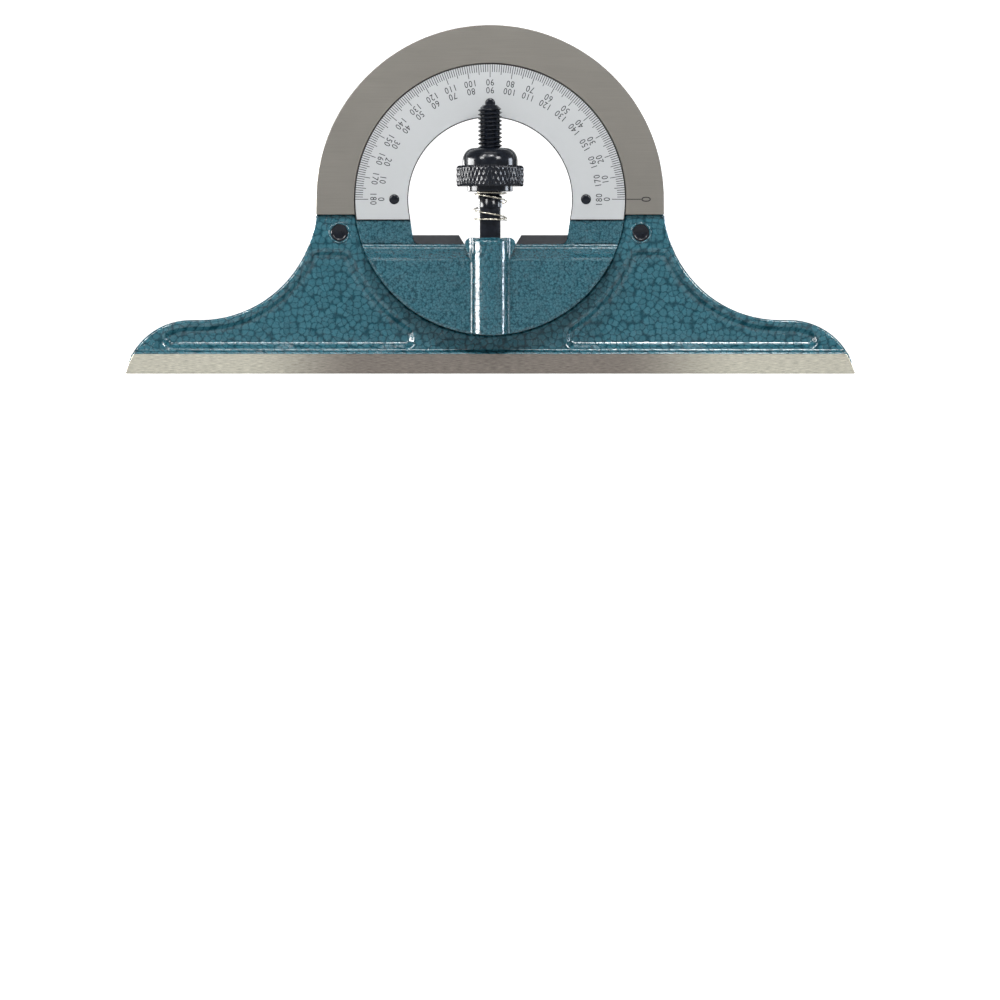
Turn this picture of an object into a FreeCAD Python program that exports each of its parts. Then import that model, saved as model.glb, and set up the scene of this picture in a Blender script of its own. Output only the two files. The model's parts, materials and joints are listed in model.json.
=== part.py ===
import FreeCAD, Part
import math
import os

from FreeCAD import Vector

# Bevel protractor head: a stock with a ground base, and a swivelling turret that clamps a flat rule.
# Millimetres. Origin at the centre of the base's ground underside, front towards -Y, +Z up.

# Base flange
BASE_DEPTH = 20.0
BASE_THICKNESS = 5.4
BASE_EDGE_RADIUS = 1.0
WEB_FOOT_RADIUS = 3.0

# Depths measured back from the ground front plane
RIM_DROP = 1.2
PANEL_DROP = 1.6
RING_THICKNESS = 4.0
WEB_THICKNESS = 5.8
REAR_PANEL_DEPTH = 1.2

# Silhouette of the stock, from the turret outwards
TURRET_RADIUS = 33.0
UNDER_BAND = 4.0
RING_WIDTH = 9.3
RING_LEG = 3.7
COVE_START_DROP = 1.0
SHOULDER_RISE = 7.7
FOOT_FLAT = 2.25
TOE_RADIUS = 16.5

# Sunk panels of the stock
RIM_WIDTH = 1.4
PANEL_WALL_RUN = 1.5
PANEL_WALL_RISE = 0.5
PANEL_TOP_DROP = 12.4
PANEL_BAND_WIDTH = 3.5
PANEL_BRIDGE_HALF = 18.3
PANEL_CORNER_RADIUS = 2.5

# Swivel fit
SWIVEL_CLEARANCE = 0.05
FLANGE_LIP = 2.0
FLANGE_REAR_GAP = 0.1
FLANGE_END_PLAY = 0.03

# Turret casting and its rule bridge
DIAL_THICKNESS = 1.0
DIAL_DROP = 5.1
SHOULDER_DROP = 0.5
DIAL_WIDTH = 13.1
WINDOW_SIDE_DROP = 3.3
SILL_INSET = 1.4
SILL_DROP = 10.8
SILL_CORNER_RADIUS = 1.5
GROOVE_WIDTH = 0.9
SEAT_DROP = 14.4
RULE_SLOT_DEPTH = 2.6
BRIDGE_THICKNESS = 2.6
BRIDGE_LIP_REACH = 0.8
BRIDGE_LIP_BEVEL = 0.3
BRIDGE_LIP_HEIGHT = 0.8
BRIDGE_FACE_DROP = 0.3
BRIDGE_EDGE_CHAMFER = 0.5
BOSS_WIDTH = 8.8
BOSS_TOP_DROP = 9.4
BOSS_TOP_CHAMFER = 0.8
BOSS_ROOT_RADIUS = 0.6
BOSS_HEAD_FILLET = 2.0
BOSS_HEAD_HEIGHT = 2.0
BOSS_HEAD_TAPER = 4.4
BOSS_CORNER_RADIUS = 1.5

# Back plate
TAB_TOP_DROP = 8.7
NOTCH_HALF_BOTTOM = 6.3
NOTCH_HALF_TOP = 7.6
WINDOW_STEP = 0.3

# Clamp bolt
BOLT_RADIUS = 2.95
BOLT_TIP_RISE = 22.7
BOLT_TIP_CHAMFER = 1.2
SHANK_WIDTH = 5.1
SHANK_TOP_DROP = 2.2
SHANK_CLEARANCE = 0.1
HOOK_HEIGHT = 3.0
HOOK_REACH = 0.95
HOOK_CLEARANCE = 0.05
HOOK_NOSE = 0.65
RULE_WIDTH = 25.4
SHANK_BELOW_HOOK = 0.4
BOLT_DROP = 2.0
CAVITY_END_PLAY = 0.3
BOLT_AXIS_SETBACK = 2.7

# Clamp nut
NUT_BORE_CLEARANCE = 0.05
NUT_COLLAR_RISE = 1.75
NUT_COLLAR_HEIGHT = 1.25
NUT_COLLAR_RADIUS = 5.5
NUT_KNURL_HEIGHT = 5.0
NUT_KNURL_RADIUS = 8.2
NUT_KNURL_CHAMFER = 0.35
NUT_DOME_RADIUS = 6.7
NUT_DOME_CYLINDER = 1.1
NUT_DOME_HEIGHT = 3.2
NUT_DOME_TOP_RADIUS = 4.0
NUT_DOME_BANDS = 4

# Clamp spring
SPRING_WIRE = 0.45
SPRING_SQUARE_GAP = 0.1
SPRING_LENGTH = 7.1
SPRING_CLOSED_TURNS = 1.0
SPRING_CLOSED_PITCH = 0.46
SPRING_OPEN_TURNS = 1.4
SPRING_STEPS = 14
SPRING_SIDES = 10

# Fixings
SCREW_SIDES = 16
DIAL_SCREW_SIDES = 20
DIAL_SCREW_INSET = 3.4
DIAL_SCREW_HEAD_RADIUS = 1.25
DIAL_SCREW_HEAD_DEPTH = 0.5
DIAL_SCREW_DOME = 0.15
DIAL_SCREW_SHANK_RADIUS = 0.8
DIAL_SCREW_REACH = 2.0
PLATE_SCREW_INSET = 7.5
PLATE_SCREW_ANGLES = (45.0, 135.0, -19.5, 199.5)
PLATE_SCREW_RADIUS = 1.25
PLATE_SCREW_HEAD_RADIUS = 2.4
PLATE_SCREW_HEAD_HEIGHT = 1.4
PLATE_SCREW_REACH = 2.2
RING_SCREW_ANGLES = (12.0, 51.0, 90.0, 129.0, 168.0)
RING_SCREW_RADIUS = 1.25
RING_SCREW_HEAD_RADIUS = 2.3
RING_SCREW_HEAD_HEIGHT = 1.3
RING_SCREW_REACH = 2.4
SCREW_SLOT_WIDTH = 0.5
SCREW_SLOT_DEPTH = 0.6

# Swivel lock at the rear
LOCK_SIDES = 24
STUD_ANGLE_BELOW = 12.5
STUD_WALL = 0.75
STUD_RADIUS = 1.75
STUD_HEAD_RADIUS = 2.05
STUD_HEAD_HEIGHT = 2.0
STUD_HEAD_PROUD = 0.3
STUD_END_CHAMFER = 0.4
LOCK_CLEARANCE = 0.05
SHOE_RADIUS = 6.0
SHOE_THICKNESS = 1.6
WASHER_RADIUS = 4.0
WASHER_THICKNESS = 0.5
LOCK_NUT_HUB_RADIUS = 4.2
LOCK_NUT_HUB_HEIGHT = 1.2
LOCK_NUT_KNURL_RADIUS = 5.8
LOCK_NUT_KNURL_HEIGHT = 3.3
LOCK_NUT_KNURL_CHAMFER = 0.3
LOCK_NUT_CAP_HEIGHT = 1.0
LOCK_TRAVEL = 1.4
STUD_SHOWS = 0.2

# Places worked out from the sizes
FRONT_Y = -BASE_DEPTH / 2
RIM_Y = FRONT_Y + RIM_DROP
SEAT_Y = FRONT_Y + RING_THICKNESS
WEB_REAR_Y = RIM_Y + WEB_THICKNESS
TURRET_Z = BASE_THICKNESS + UNDER_BAND + TURRET_RADIUS
BORE_RADIUS = TURRET_RADIUS + SWIVEL_CLEARANCE
RING_OUTER_RADIUS = TURRET_RADIUS + RING_WIDTH
FLANGE_RADIUS = TURRET_RADIUS + FLANGE_LIP
FLANGE_BORE_RADIUS = FLANGE_RADIUS + SWIVEL_CLEARANCE
FLANGE_FRONT_Y = SEAT_Y + FLANGE_END_PLAY
FLANGE_REAR_Y = WEB_REAR_Y - FLANGE_REAR_GAP
FOOT_Z = BASE_THICKNESS + SHOULDER_RISE
COVE_RADIUS = TURRET_Z - COVE_START_DROP - FOOT_Z
COVE_X = RING_OUTER_RADIUS + COVE_RADIUS
COVE_Z = FOOT_Z + COVE_RADIUS
TOE_X = COVE_X + FOOT_FLAT
TOE_Z = FOOT_Z - TOE_RADIUS
BASE_HALF = TOE_X + math.sqrt(TOE_RADIUS ** 2 - TOE_Z ** 2)
WINDOW_RADIUS = TURRET_RADIUS - DIAL_WIDTH
SILL_HALF = WINDOW_RADIUS - SILL_INSET
DIAL_SCREW_RADIUS_AT = WINDOW_RADIUS + DIAL_SCREW_INSET
PLATE_SCREW_RADIUS_AT = WINDOW_RADIUS + PLATE_SCREW_INSET
DIAL_SEAT_Y = FRONT_Y + DIAL_THICKNESS
SHOULDER_Y = FRONT_Y + SHOULDER_DROP
SILL_Z = TURRET_Z - SILL_DROP
SEAT_Z = TURRET_Z - SEAT_DROP
SLOT_FRONT_Y = FRONT_Y - RULE_SLOT_DEPTH
BRIDGE_FRONT_Y = SLOT_FRONT_Y - BRIDGE_THICKNESS
BOLT_Y = SLOT_FRONT_Y - BOLT_AXIS_SETBACK
BOSS_TOP_Z = TURRET_Z - BOSS_TOP_DROP
GROOVE_MIDDLE_Z = SEAT_Z - RULE_WIDTH / 2
SHANK_END_Z = GROOVE_MIDDLE_Z - HOOK_HEIGHT / 2 - SHANK_BELOW_HOOK
STUD_RADIUS_AT = FLANGE_BORE_RADIUS + STUD_WALL + STUD_RADIUS
STUD_X = STUD_RADIUS_AT * math.cos(math.radians(STUD_ANGLE_BELOW))
STUD_Z = TURRET_Z - STUD_RADIUS_AT * math.sin(math.radians(STUD_ANGLE_BELOW))
RING_SCREW_RADIUS_AT = (FLANGE_BORE_RADIUS + RING_OUTER_RADIUS) / 2


def about_turret(radius, degrees):
    """Point of the front view on a circle round the turret's centre."""
    angle = math.radians(degrees)
    return radius * math.cos(angle), TURRET_Z + radius * math.sin(angle)


def arc_to(centre, radius, mid_degrees, end):
    """Outline step: an arc through its middle angle to its end point."""
    angle = math.radians(mid_degrees)
    middle = (centre[0] + radius * math.cos(angle), centre[1] + radius * math.sin(angle))
    return middle, end


def outline_face(start, steps, y):
    """Flat face in the front view at depth y; a step is a point, or a middle and an end point."""
    edges = []
    here = Vector(start[0], y, start[1])
    for step in steps:
        if isinstance(step[0], tuple):
            middle = Vector(step[0][0], y, step[0][1])
            there = Vector(step[1][0], y, step[1][1])
            edges.append(Part.Arc(here, middle, there).toShape())
        else:
            there = Vector(step[0], y, step[1])
            edges.append(Part.LineSegment(here, there).toShape())
        here = there
    return Part.Face(Part.Wire(edges))


def thicken(face, y_front, y_rear):
    """Prism of a front-view face between two depths."""
    placed = face.copy()
    placed.translate(Vector(0, y_front - face.BoundBox.YMin, 0))
    return placed.extrude(Vector(0, y_rear - y_front, 0))


def disc(x, z, radius, y_front, y_rear):
    """Round disc or hole along Y."""
    return Part.makeCylinder(radius, y_rear - y_front, Vector(x, y_front, z), Vector(0, 1, 0))


def block(x_low, x_high, y_low, y_high, z_low, z_high):
    """Box between two corners."""
    size = (x_high - x_low, y_high - y_low, z_high - z_low)
    return Part.makeBox(size[0], size[1], size[2], Vector(x_low, y_low, z_low))


def round_corners(face, radius):
    """Face with its outward corners rounded."""
    return face.makeOffset2D(-radius).makeOffset2D(radius)


def turned_along_y(x, z, profile):
    """Solid of revolution about a line along Y through (x, z); profile points are (radius, y)."""
    points = [Vector(x + radius, y, z) for radius, y in profile]
    wire = Part.makePolygon(points + points[:1])
    return Part.Face(wire).revolve(Vector(x, 0, z), Vector(0, 1, 0), 360)


def faceted_along_y(x, z, profile, sides):
    """Solid with flat sides about a line along Y through (x, z); profile points are (radius, y)."""
    rings = []
    for radius, y in profile:
        corners = []
        for side in range(sides + 1):
            angle = 2 * math.pi * side / sides
            corners.append(Vector(x + radius * math.cos(angle), y, z + radius * math.sin(angle)))
        rings.append(corners)
    faces = [Part.Face(Part.makePolygon(rings[0])), Part.Face(Part.makePolygon(rings[-1]))]
    for near, far in zip(rings, rings[1:]):
        for side in range(sides):
            corners = [near[side], near[side + 1], far[side + 1], far[side], near[side]]
            faces.append(Part.Face(Part.makePolygon(corners)))
    solid = Part.Solid(Part.Shell(faces))
    if solid.Volume < 0:
        solid.reverse()
    return solid


def mirrored(shape):
    """Copy on the other side of the object's middle plane."""
    return shape.mirror(Vector(0, 0, 0), Vector(1, 0, 0))


def stock_silhouette(y):
    """Front-view outline of the stock: round toes down to the base, coves and the round top."""
    toe_angle = math.degrees(math.asin(-TOE_Z / TOE_RADIUS))
    toe_middle = (toe_angle + 90) / 2
    right = [
        arc_to((TOE_X, TOE_Z), TOE_RADIUS, toe_middle, (TOE_X, FOOT_Z)),
        (COVE_X, FOOT_Z),
        arc_to((COVE_X, COVE_Z), COVE_RADIUS, 225, (RING_OUTER_RADIUS, COVE_Z)),
        (RING_OUTER_RADIUS, TURRET_Z),
    ]
    left = [
        arc_to((0, TURRET_Z), RING_OUTER_RADIUS, 90, (-RING_OUTER_RADIUS, TURRET_Z)),
        (-RING_OUTER_RADIUS, COVE_Z),
        arc_to((-COVE_X, COVE_Z), COVE_RADIUS, 315, (-COVE_X, FOOT_Z)),
        (-TOE_X, FOOT_Z),
        arc_to((-TOE_X, TOE_Z), TOE_RADIUS, 180 - toe_middle, (-BASE_HALF, 0.0)),
        (BASE_HALF, 0.0),
    ]
    return outline_face((BASE_HALF, 0.0), right + left, y)


def panel_face():
    """Outline of the right sunk panel, which keeps a rim along the silhouette."""
    inside = stock_silhouette(0).makeOffset2D(-RIM_WIDTH)
    low = BASE_THICKNESS + PANEL_WALL_RISE
    high = TURRET_Z - PANEL_TOP_DROP
    reach = BASE_HALF - PANEL_BRIDGE_HALF
    field = Part.makePlane(reach, high - low, Vector(PANEL_BRIDGE_HALF, 0, high), Vector(0, 1, 0),
                           Vector(1, 0, 0))
    band = disc(0, TURRET_Z, TURRET_RADIUS + PANEL_BAND_WIDTH, -1, 1)
    sharp = inside.common(field).cut(band)
    return round_corners(sharp.Faces[0], PANEL_CORNER_RADIUS)


def front_panel():
    """Cutter of a front panel, whose walls slope in to its floor."""
    mouth = panel_face()
    mouth.translate(Vector(0, RIM_Y, 0))
    floor = mouth.makeOffset2D(-PANEL_WALL_RUN)
    floor.translate(Vector(0, PANEL_DROP, 0))
    return Part.makeLoft([mouth.OuterWire, floor.OuterWire], True, True)


def base_flange():
    """Base flange with its ground underside and front strip, and the fillet at the web's foot."""
    edge = BASE_EDGE_RADIUS
    foot = WEB_FOOT_RADIUS
    rear = BASE_DEPTH / 2
    corner = math.sqrt(0.5)
    points = [
        Vector(0, FRONT_Y, 0),
        Vector(0, rear, 0),
        Vector(0, rear, BASE_THICKNESS - edge),
        Vector(0, rear - edge + edge * corner, BASE_THICKNESS - edge + edge * corner),
        Vector(0, rear - edge, BASE_THICKNESS),
        Vector(0, WEB_REAR_Y + foot, BASE_THICKNESS),
        Vector(0, WEB_REAR_Y + foot - foot * corner, BASE_THICKNESS + foot - foot * corner),
        Vector(0, WEB_REAR_Y, BASE_THICKNESS + foot),
        Vector(0, RIM_Y, BASE_THICKNESS + foot),
        Vector(0, RIM_Y, BASE_THICKNESS),
        Vector(0, FRONT_Y, BASE_THICKNESS),
    ]
    edges = [
        Part.makeLine(points[0], points[1]),
        Part.makeLine(points[1], points[2]),
        Part.Arc(points[2], points[3], points[4]).toShape(),
        Part.makeLine(points[4], points[5]),
        Part.Arc(points[5], points[6], points[7]).toShape(),
        Part.makeLine(points[7], points[8]),
        Part.makeLine(points[8], points[9]),
        Part.makeLine(points[9], points[10]),
        Part.makeLine(points[10], points[0]),
    ]
    section = Part.Face(Part.Wire(edges))
    section.translate(Vector(-BASE_HALF, 0, 0))
    bar = section.extrude(Vector(2 * BASE_HALF, 0, 0))
    return bar.common(thicken(stock_silhouette(0), FRONT_Y, rear))


def ring_screw_places():
    """Front-view places of the screws that hold the arc ring."""
    return [about_turret(RING_SCREW_RADIUS_AT, angle) for angle in RING_SCREW_ANGLES]


def plate_screw_places():
    """Front-view places of the screws that hold the back plate."""
    return [about_turret(PLATE_SCREW_RADIUS_AT, angle) for angle in PLATE_SCREW_ANGLES]


def dial_screw_place(angle):
    """Front-view place of one dial screw."""
    return about_turret(DIAL_SCREW_RADIUS_AT, angle)


def flat_head_screw(x, z, y_head, head_radius, head_height, radius, y_end):
    """Countersunk screw along -Y: its head is flush at y_head and its end is at y_end."""
    tip = radius / 2
    profile = [
        (head_radius, y_head),
        (radius, y_head - head_height),
        (radius, y_end + tip),
        (radius - tip, y_end),
    ]
    return faceted_along_y(x, z, profile, SCREW_SIDES)


def screw_slot(x, z, head_radius, y_head):
    """Driver slot of a flat-head screw."""
    half = SCREW_SLOT_WIDTH / 2
    return block(x - head_radius, x + head_radius, y_head - SCREW_SLOT_DEPTH, y_head, z - half, z + half)


def ring_screw(x, z):
    """Screw from behind through the rear half ring into the arc ring."""
    end = SEAT_Y - RING_SCREW_REACH
    return flat_head_screw(x, z, WEB_REAR_Y, RING_SCREW_HEAD_RADIUS, RING_SCREW_HEAD_HEIGHT,
                           RING_SCREW_RADIUS, end)


def plate_screw(x, z):
    """Screw from behind through the back plate into the turret casting."""
    end = FLANGE_FRONT_Y - PLATE_SCREW_REACH
    return flat_head_screw(x, z, FLANGE_REAR_Y, PLATE_SCREW_HEAD_RADIUS, PLATE_SCREW_HEAD_HEIGHT,
                           PLATE_SCREW_RADIUS, end)


def lock_stud(x):
    """Stud of a swivel lock: flush round head at the front, threaded end at the rear."""
    front = RIM_Y - STUD_HEAD_PROUD
    neck = front + STUD_HEAD_HEIGHT
    lock_stack = SHOE_THICKNESS + WASHER_THICKNESS
    nut_height = LOCK_NUT_HUB_HEIGHT + LOCK_NUT_KNURL_HEIGHT + LOCK_NUT_CAP_HEIGHT
    end = WEB_REAR_Y + lock_stack + nut_height + LOCK_TRAVEL + STUD_SHOWS
    profile = [
        (STUD_HEAD_RADIUS, front),
        (STUD_HEAD_RADIUS, neck),
        (STUD_RADIUS, neck),
        (STUD_RADIUS, end - STUD_END_CHAMFER),
        (STUD_RADIUS - STUD_END_CHAMFER, end),
    ]
    return faceted_along_y(x, STUD_Z, profile, LOCK_SIDES)


def stock_casting():
    """Cast stock: base flange, web with sunk panels, and the rear half ring."""
    web = thicken(stock_silhouette(0), SEAT_Y, WEB_REAR_Y)
    front = thicken(stock_silhouette(0), RIM_Y, SEAT_Y)
    front_top = TURRET_Z - RING_LEG
    front = front.cut(block(-BASE_HALF, BASE_HALF, RIM_Y, SEAT_Y, front_top, front_top + 2 * BASE_HALF))
    body = web.fuse([front, base_flange()])
    cutters = [
        disc(0, TURRET_Z, BORE_RADIUS, RIM_Y, WEB_REAR_Y),
        disc(0, TURRET_Z, FLANGE_BORE_RADIUS, SEAT_Y, WEB_REAR_Y),
    ]
    rear_panel = thicken(panel_face(), WEB_REAR_Y - REAR_PANEL_DEPTH, WEB_REAR_Y)
    foot_top = BASE_THICKNESS + WEB_FOOT_RADIUS
    rear_panel = rear_panel.cut(block(0, BASE_HALF, WEB_REAR_Y - WEB_THICKNESS, WEB_REAR_Y, 0, foot_top))
    for cutter in (front_panel(), rear_panel):
        cutters.append(cutter)
        cutters.append(mirrored(cutter))
    cutters.append(lock_stud(STUD_X))
    cutters.append(lock_stud(-STUD_X))
    cutters += [ring_screw(x, z) for x, z in ring_screw_places()]
    return body.cut(cutters).removeSplitter()


def arc_ring():
    """Ground steel ring over the turret, with straight legs down to the stock's pads."""
    leg_end = TURRET_Z - RING_LEG
    start = (RING_OUTER_RADIUS, leg_end)
    steps = [
        (RING_OUTER_RADIUS, TURRET_Z),
        arc_to((0, TURRET_Z), RING_OUTER_RADIUS, 90, (-RING_OUTER_RADIUS, TURRET_Z)),
        (-RING_OUTER_RADIUS, leg_end),
        (RING_OUTER_RADIUS, leg_end),
    ]
    ring = thicken(outline_face(start, steps, 0), FRONT_Y, SEAT_Y)
    ring = ring.cut(disc(0, TURRET_Z, BORE_RADIUS, FRONT_Y, SEAT_Y))
    return ring.cut([ring_screw(x, z) for x, z in ring_screw_places()])


def arc_ring_screws():
    """Row of flat-head screws that hold the arc ring from behind."""
    screws = []
    for x, z in ring_screw_places():
        slot = screw_slot(x, z, RING_SCREW_HEAD_RADIUS, WEB_REAR_Y)
        screws.append(ring_screw(x, z).cut(slot))
    return Part.makeCompound(screws)


def window_face(grow):
    """Turret window: round top, nearly straight sides and a flat sill."""
    radius = WINDOW_RADIUS + grow
    side_angle = math.degrees(math.asin(WINDOW_SIDE_DROP / radius))
    right = about_turret(radius, -side_angle)
    left = about_turret(radius, 180 + side_angle)
    half = SILL_HALF + grow
    steps = [
        right,
        arc_to((0, TURRET_Z), radius, 90, left),
        (-half, SILL_Z),
        (half, SILL_Z),
    ]
    return round_corners(outline_face((half, SILL_Z), steps, 0), SILL_CORNER_RADIUS)


def tab_half():
    """Half width of the back plate's tab under the sill."""
    return SILL_HALF - SILL_CORNER_RADIUS


def clamp_cavity():
    """Keyed cavity of the clamp bolt: a square hole with a channel that lets the hook pass."""
    half = SHANK_WIDTH / 2 + SHANK_CLEARANCE
    front = BOLT_Y - half
    rear = BOLT_Y + SHANK_WIDTH / 2 + HOOK_REACH + HOOK_CLEARANCE
    floor = SHANK_END_Z - BOLT_DROP - CAVITY_END_PLAY
    return block(-half, half, front, rear, floor, TURRET_Z)


def rule_bridge():
    """Bridge over the rule: a lip, a root beam with a sloped top and a plate clear of the rule slot."""
    bottom = TURRET_Z - TURRET_RADIUS
    points = [
        (FRONT_Y, SILL_Z),
        (FRONT_Y - BRIDGE_LIP_REACH, SILL_Z - BRIDGE_LIP_BEVEL),
        (FRONT_Y - BRIDGE_LIP_REACH, SILL_Z - BRIDGE_LIP_BEVEL - BRIDGE_LIP_HEIGHT),
        (BRIDGE_FRONT_Y, SEAT_Z - BRIDGE_FACE_DROP),
        (BRIDGE_FRONT_Y, bottom),
        (SLOT_FRONT_Y, bottom),
        (SLOT_FRONT_Y, SEAT_Z),
        (FRONT_Y, SEAT_Z),
    ]
    corners = [Vector(-TURRET_RADIUS, y, z) for y, z in points]
    section = Part.Face(Part.makePolygon(corners + corners[:1]))
    beam = section.extrude(Vector(2 * TURRET_RADIUS, 0, 0))
    chamfer = BRIDGE_EDGE_CHAMFER
    outer = [
        (0, BRIDGE_FRONT_Y),
        (TURRET_RADIUS - chamfer, BRIDGE_FRONT_Y),
        (TURRET_RADIUS, BRIDGE_FRONT_Y + chamfer),
        (TURRET_RADIUS, FRONT_Y),
        (0, FRONT_Y),
    ]
    return beam.common(turned_along_y(0, TURRET_Z, outer))


def boss_root(fillet, top):
    """Foot of the boss with a hollow fillet at each side of the column, and its half width."""
    radius = BOSS_WIDTH / 2
    bottom = TURRET_Z - TURRET_RADIUS
    fillet_y = BRIDGE_FRONT_Y - fillet
    apart = radius + fillet
    half = math.sqrt(apart ** 2 - (BOLT_Y - fillet_y) ** 2)
    meet_y = BOLT_Y + (fillet_y - BOLT_Y) * radius / apart
    foot = block(-half, half, meet_y, SLOT_FRONT_Y, bottom, top)
    hollows = []
    for x in (-half, half):
        start = Vector(x, fillet_y, bottom)
        hollows.append(Part.makeCylinder(fillet, top - bottom, start, Vector(0, 0, 1)))
    return foot.cut(hollows), half


def clamp_boss():
    """Column on the bridge that houses the clamp bolt, with filleted roots and a wider head."""
    radius = BOSS_WIDTH / 2
    bottom = TURRET_Z - TURRET_RADIUS
    neck = BOSS_TOP_Z - BOSS_TOP_CHAMFER
    up = Vector(0, 0, 1)
    column = Part.makeCylinder(radius, neck - bottom, Vector(0, BOLT_Y, bottom), up)
    cap = Part.makeCone(radius, radius - BOSS_TOP_CHAMFER, BOSS_TOP_CHAMFER, Vector(0, BOLT_Y, neck), up)
    slim = boss_root(BOSS_ROOT_RADIUS, neck)[0]
    wide, half = boss_root(BOSS_HEAD_FILLET, BOSS_TOP_Z)
    taper_top = BOSS_TOP_Z - BOSS_HEAD_HEIGHT
    taper_end = taper_top - BOSS_HEAD_TAPER
    start = (half, taper_top)
    steps = [
        (half, BOSS_TOP_Z),
        (-half, BOSS_TOP_Z),
        (-half, taper_top),
        (-radius, taper_end),
        (radius, taper_end),
        start,
    ]
    outline = round_corners(outline_face(start, steps, 0), BOSS_CORNER_RADIUS)
    head = wide.common(thicken(outline, BOLT_Y - 2 * radius, FRONT_Y))
    behind = block(-radius, radius, SLOT_FRONT_Y, BOLT_Y + 2 * radius, bottom, TURRET_Z)
    limit = disc(0, TURRET_Z, TURRET_RADIUS, BOLT_Y - 2 * radius, FRONT_Y)
    return column.fuse([cap, slim, head]).cut(behind).common(limit)


def turret_casting():
    """Cast half disc of the turret: dial seat, shoulders, feet and the bridge over the rule."""
    whole = disc(0, TURRET_Z, TURRET_RADIUS, FRONT_Y, SEAT_Y)
    side = TURRET_RADIUS + 1
    above_seat = block(-side, side, FRONT_Y, SEAT_Y, SEAT_Z, TURRET_Z + side)
    body = whole.common(above_seat)
    cutters = [
        thicken(window_face(0), FRONT_Y, SEAT_Y),
        block(-tab_half(), tab_half(), FRONT_Y, SEAT_Y, SEAT_Z, SILL_Z),
        block(-side, side, FRONT_Y, DIAL_SEAT_Y, TURRET_Z - DIAL_DROP, TURRET_Z + side),
        block(-side, side, FRONT_Y, SHOULDER_Y, SILL_Z, TURRET_Z),
        block(-side, side, FRONT_Y, SHOULDER_Y + GROOVE_WIDTH, SILL_Z - GROOVE_WIDTH, SILL_Z),
    ]
    body = body.cut(cutters)
    body = body.fuse([rule_bridge(), clamp_boss()])
    holes = [clamp_cavity()]
    holes += [dial_screw(angle) for angle in (0.0, 90.0, 180.0)]
    holes += [plate_screw(x, z) for x, z in plate_screw_places()]
    return body.cut(holes).removeSplitter()


def turret_back_plate():
    """Steel back plate: the rule's floor, the tab under the sill and the flange behind the stock's lip."""
    pad_radius = TURRET_RADIUS - SWIVEL_CLEARANCE
    pad = disc(0, TURRET_Z, pad_radius, FRONT_Y, FLANGE_FRONT_Y)
    side = TURRET_RADIUS + 1
    pad = pad.common(block(-side, side, FRONT_Y, FLANGE_FRONT_Y, TURRET_Z - side, SEAT_Z))
    tab = block(-tab_half(), tab_half(), FRONT_Y, FLANGE_FRONT_Y, SEAT_Z, SILL_Z)
    tongue = thicken(window_face(0), FRONT_Y, FLANGE_FRONT_Y)
    tab_top = TURRET_Z - TAB_TOP_DROP
    tongue = tongue.common(block(-side, side, FRONT_Y, FLANGE_FRONT_Y, SILL_Z, tab_top))
    flange = disc(0, TURRET_Z, FLANGE_RADIUS, FLANGE_FRONT_Y, FLANGE_REAR_Y)
    window = thicken(window_face(WINDOW_STEP), FLANGE_FRONT_Y, FLANGE_REAR_Y)
    window = window.common(block(-side, side, FRONT_Y, FLANGE_REAR_Y, tab_top, TURRET_Z + side))
    notch = outline_face(
        (-NOTCH_HALF_BOTTOM, SILL_Z),
        [(NOTCH_HALF_BOTTOM, SILL_Z), (NOTCH_HALF_TOP, tab_top), (-NOTCH_HALF_TOP, tab_top),
         (-NOTCH_HALF_BOTTOM, SILL_Z)],
        0,
    )
    notch = thicken(notch, FRONT_Y, FLANGE_REAR_Y)
    plate = flange.fuse([pad, tab, tongue]).cut([window, notch])
    return plate.cut([plate_screw(x, z) for x, z in plate_screw_places()]).removeSplitter()


def back_plate_screws():
    """Flat-head screws that hold the back plate to the turret casting."""
    screws = []
    for x, z in plate_screw_places():
        slot = screw_slot(x, z, PLATE_SCREW_HEAD_RADIUS, FLANGE_REAR_Y)
        screws.append(plate_screw(x, z).cut(slot))
    return Part.makeCompound(screws)


def dial_plate():
    """Satin dial: a half disc flush with the ground ring."""
    radius = TURRET_RADIUS - SWIVEL_CLEARANCE
    side = TURRET_RADIUS + 1
    plate = disc(0, TURRET_Z, radius, FRONT_Y, DIAL_SEAT_Y)
    plate = plate.common(block(-side, side, FRONT_Y, DIAL_SEAT_Y, TURRET_Z - DIAL_DROP, TURRET_Z + side))
    plate = plate.cut(thicken(window_face(0), FRONT_Y, DIAL_SEAT_Y))
    return plate.cut([dial_screw(angle) for angle in (0.0, 90.0, 180.0)])


def dial_screw(angle):
    """Small round-head screw that holds the dial to the turret casting."""
    x, z = dial_screw_place(angle)
    rim = FRONT_Y
    seat = FRONT_Y + DIAL_SCREW_HEAD_DEPTH
    profile = [
        (DIAL_SCREW_HEAD_RADIUS / 2, rim - DIAL_SCREW_DOME),
        (DIAL_SCREW_HEAD_RADIUS, rim),
        (DIAL_SCREW_HEAD_RADIUS, seat),
        (DIAL_SCREW_SHANK_RADIUS, seat),
        (DIAL_SCREW_SHANK_RADIUS, DIAL_SEAT_Y + DIAL_SCREW_REACH),
    ]
    return faceted_along_y(x, z, profile, DIAL_SCREW_SIDES)


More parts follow.
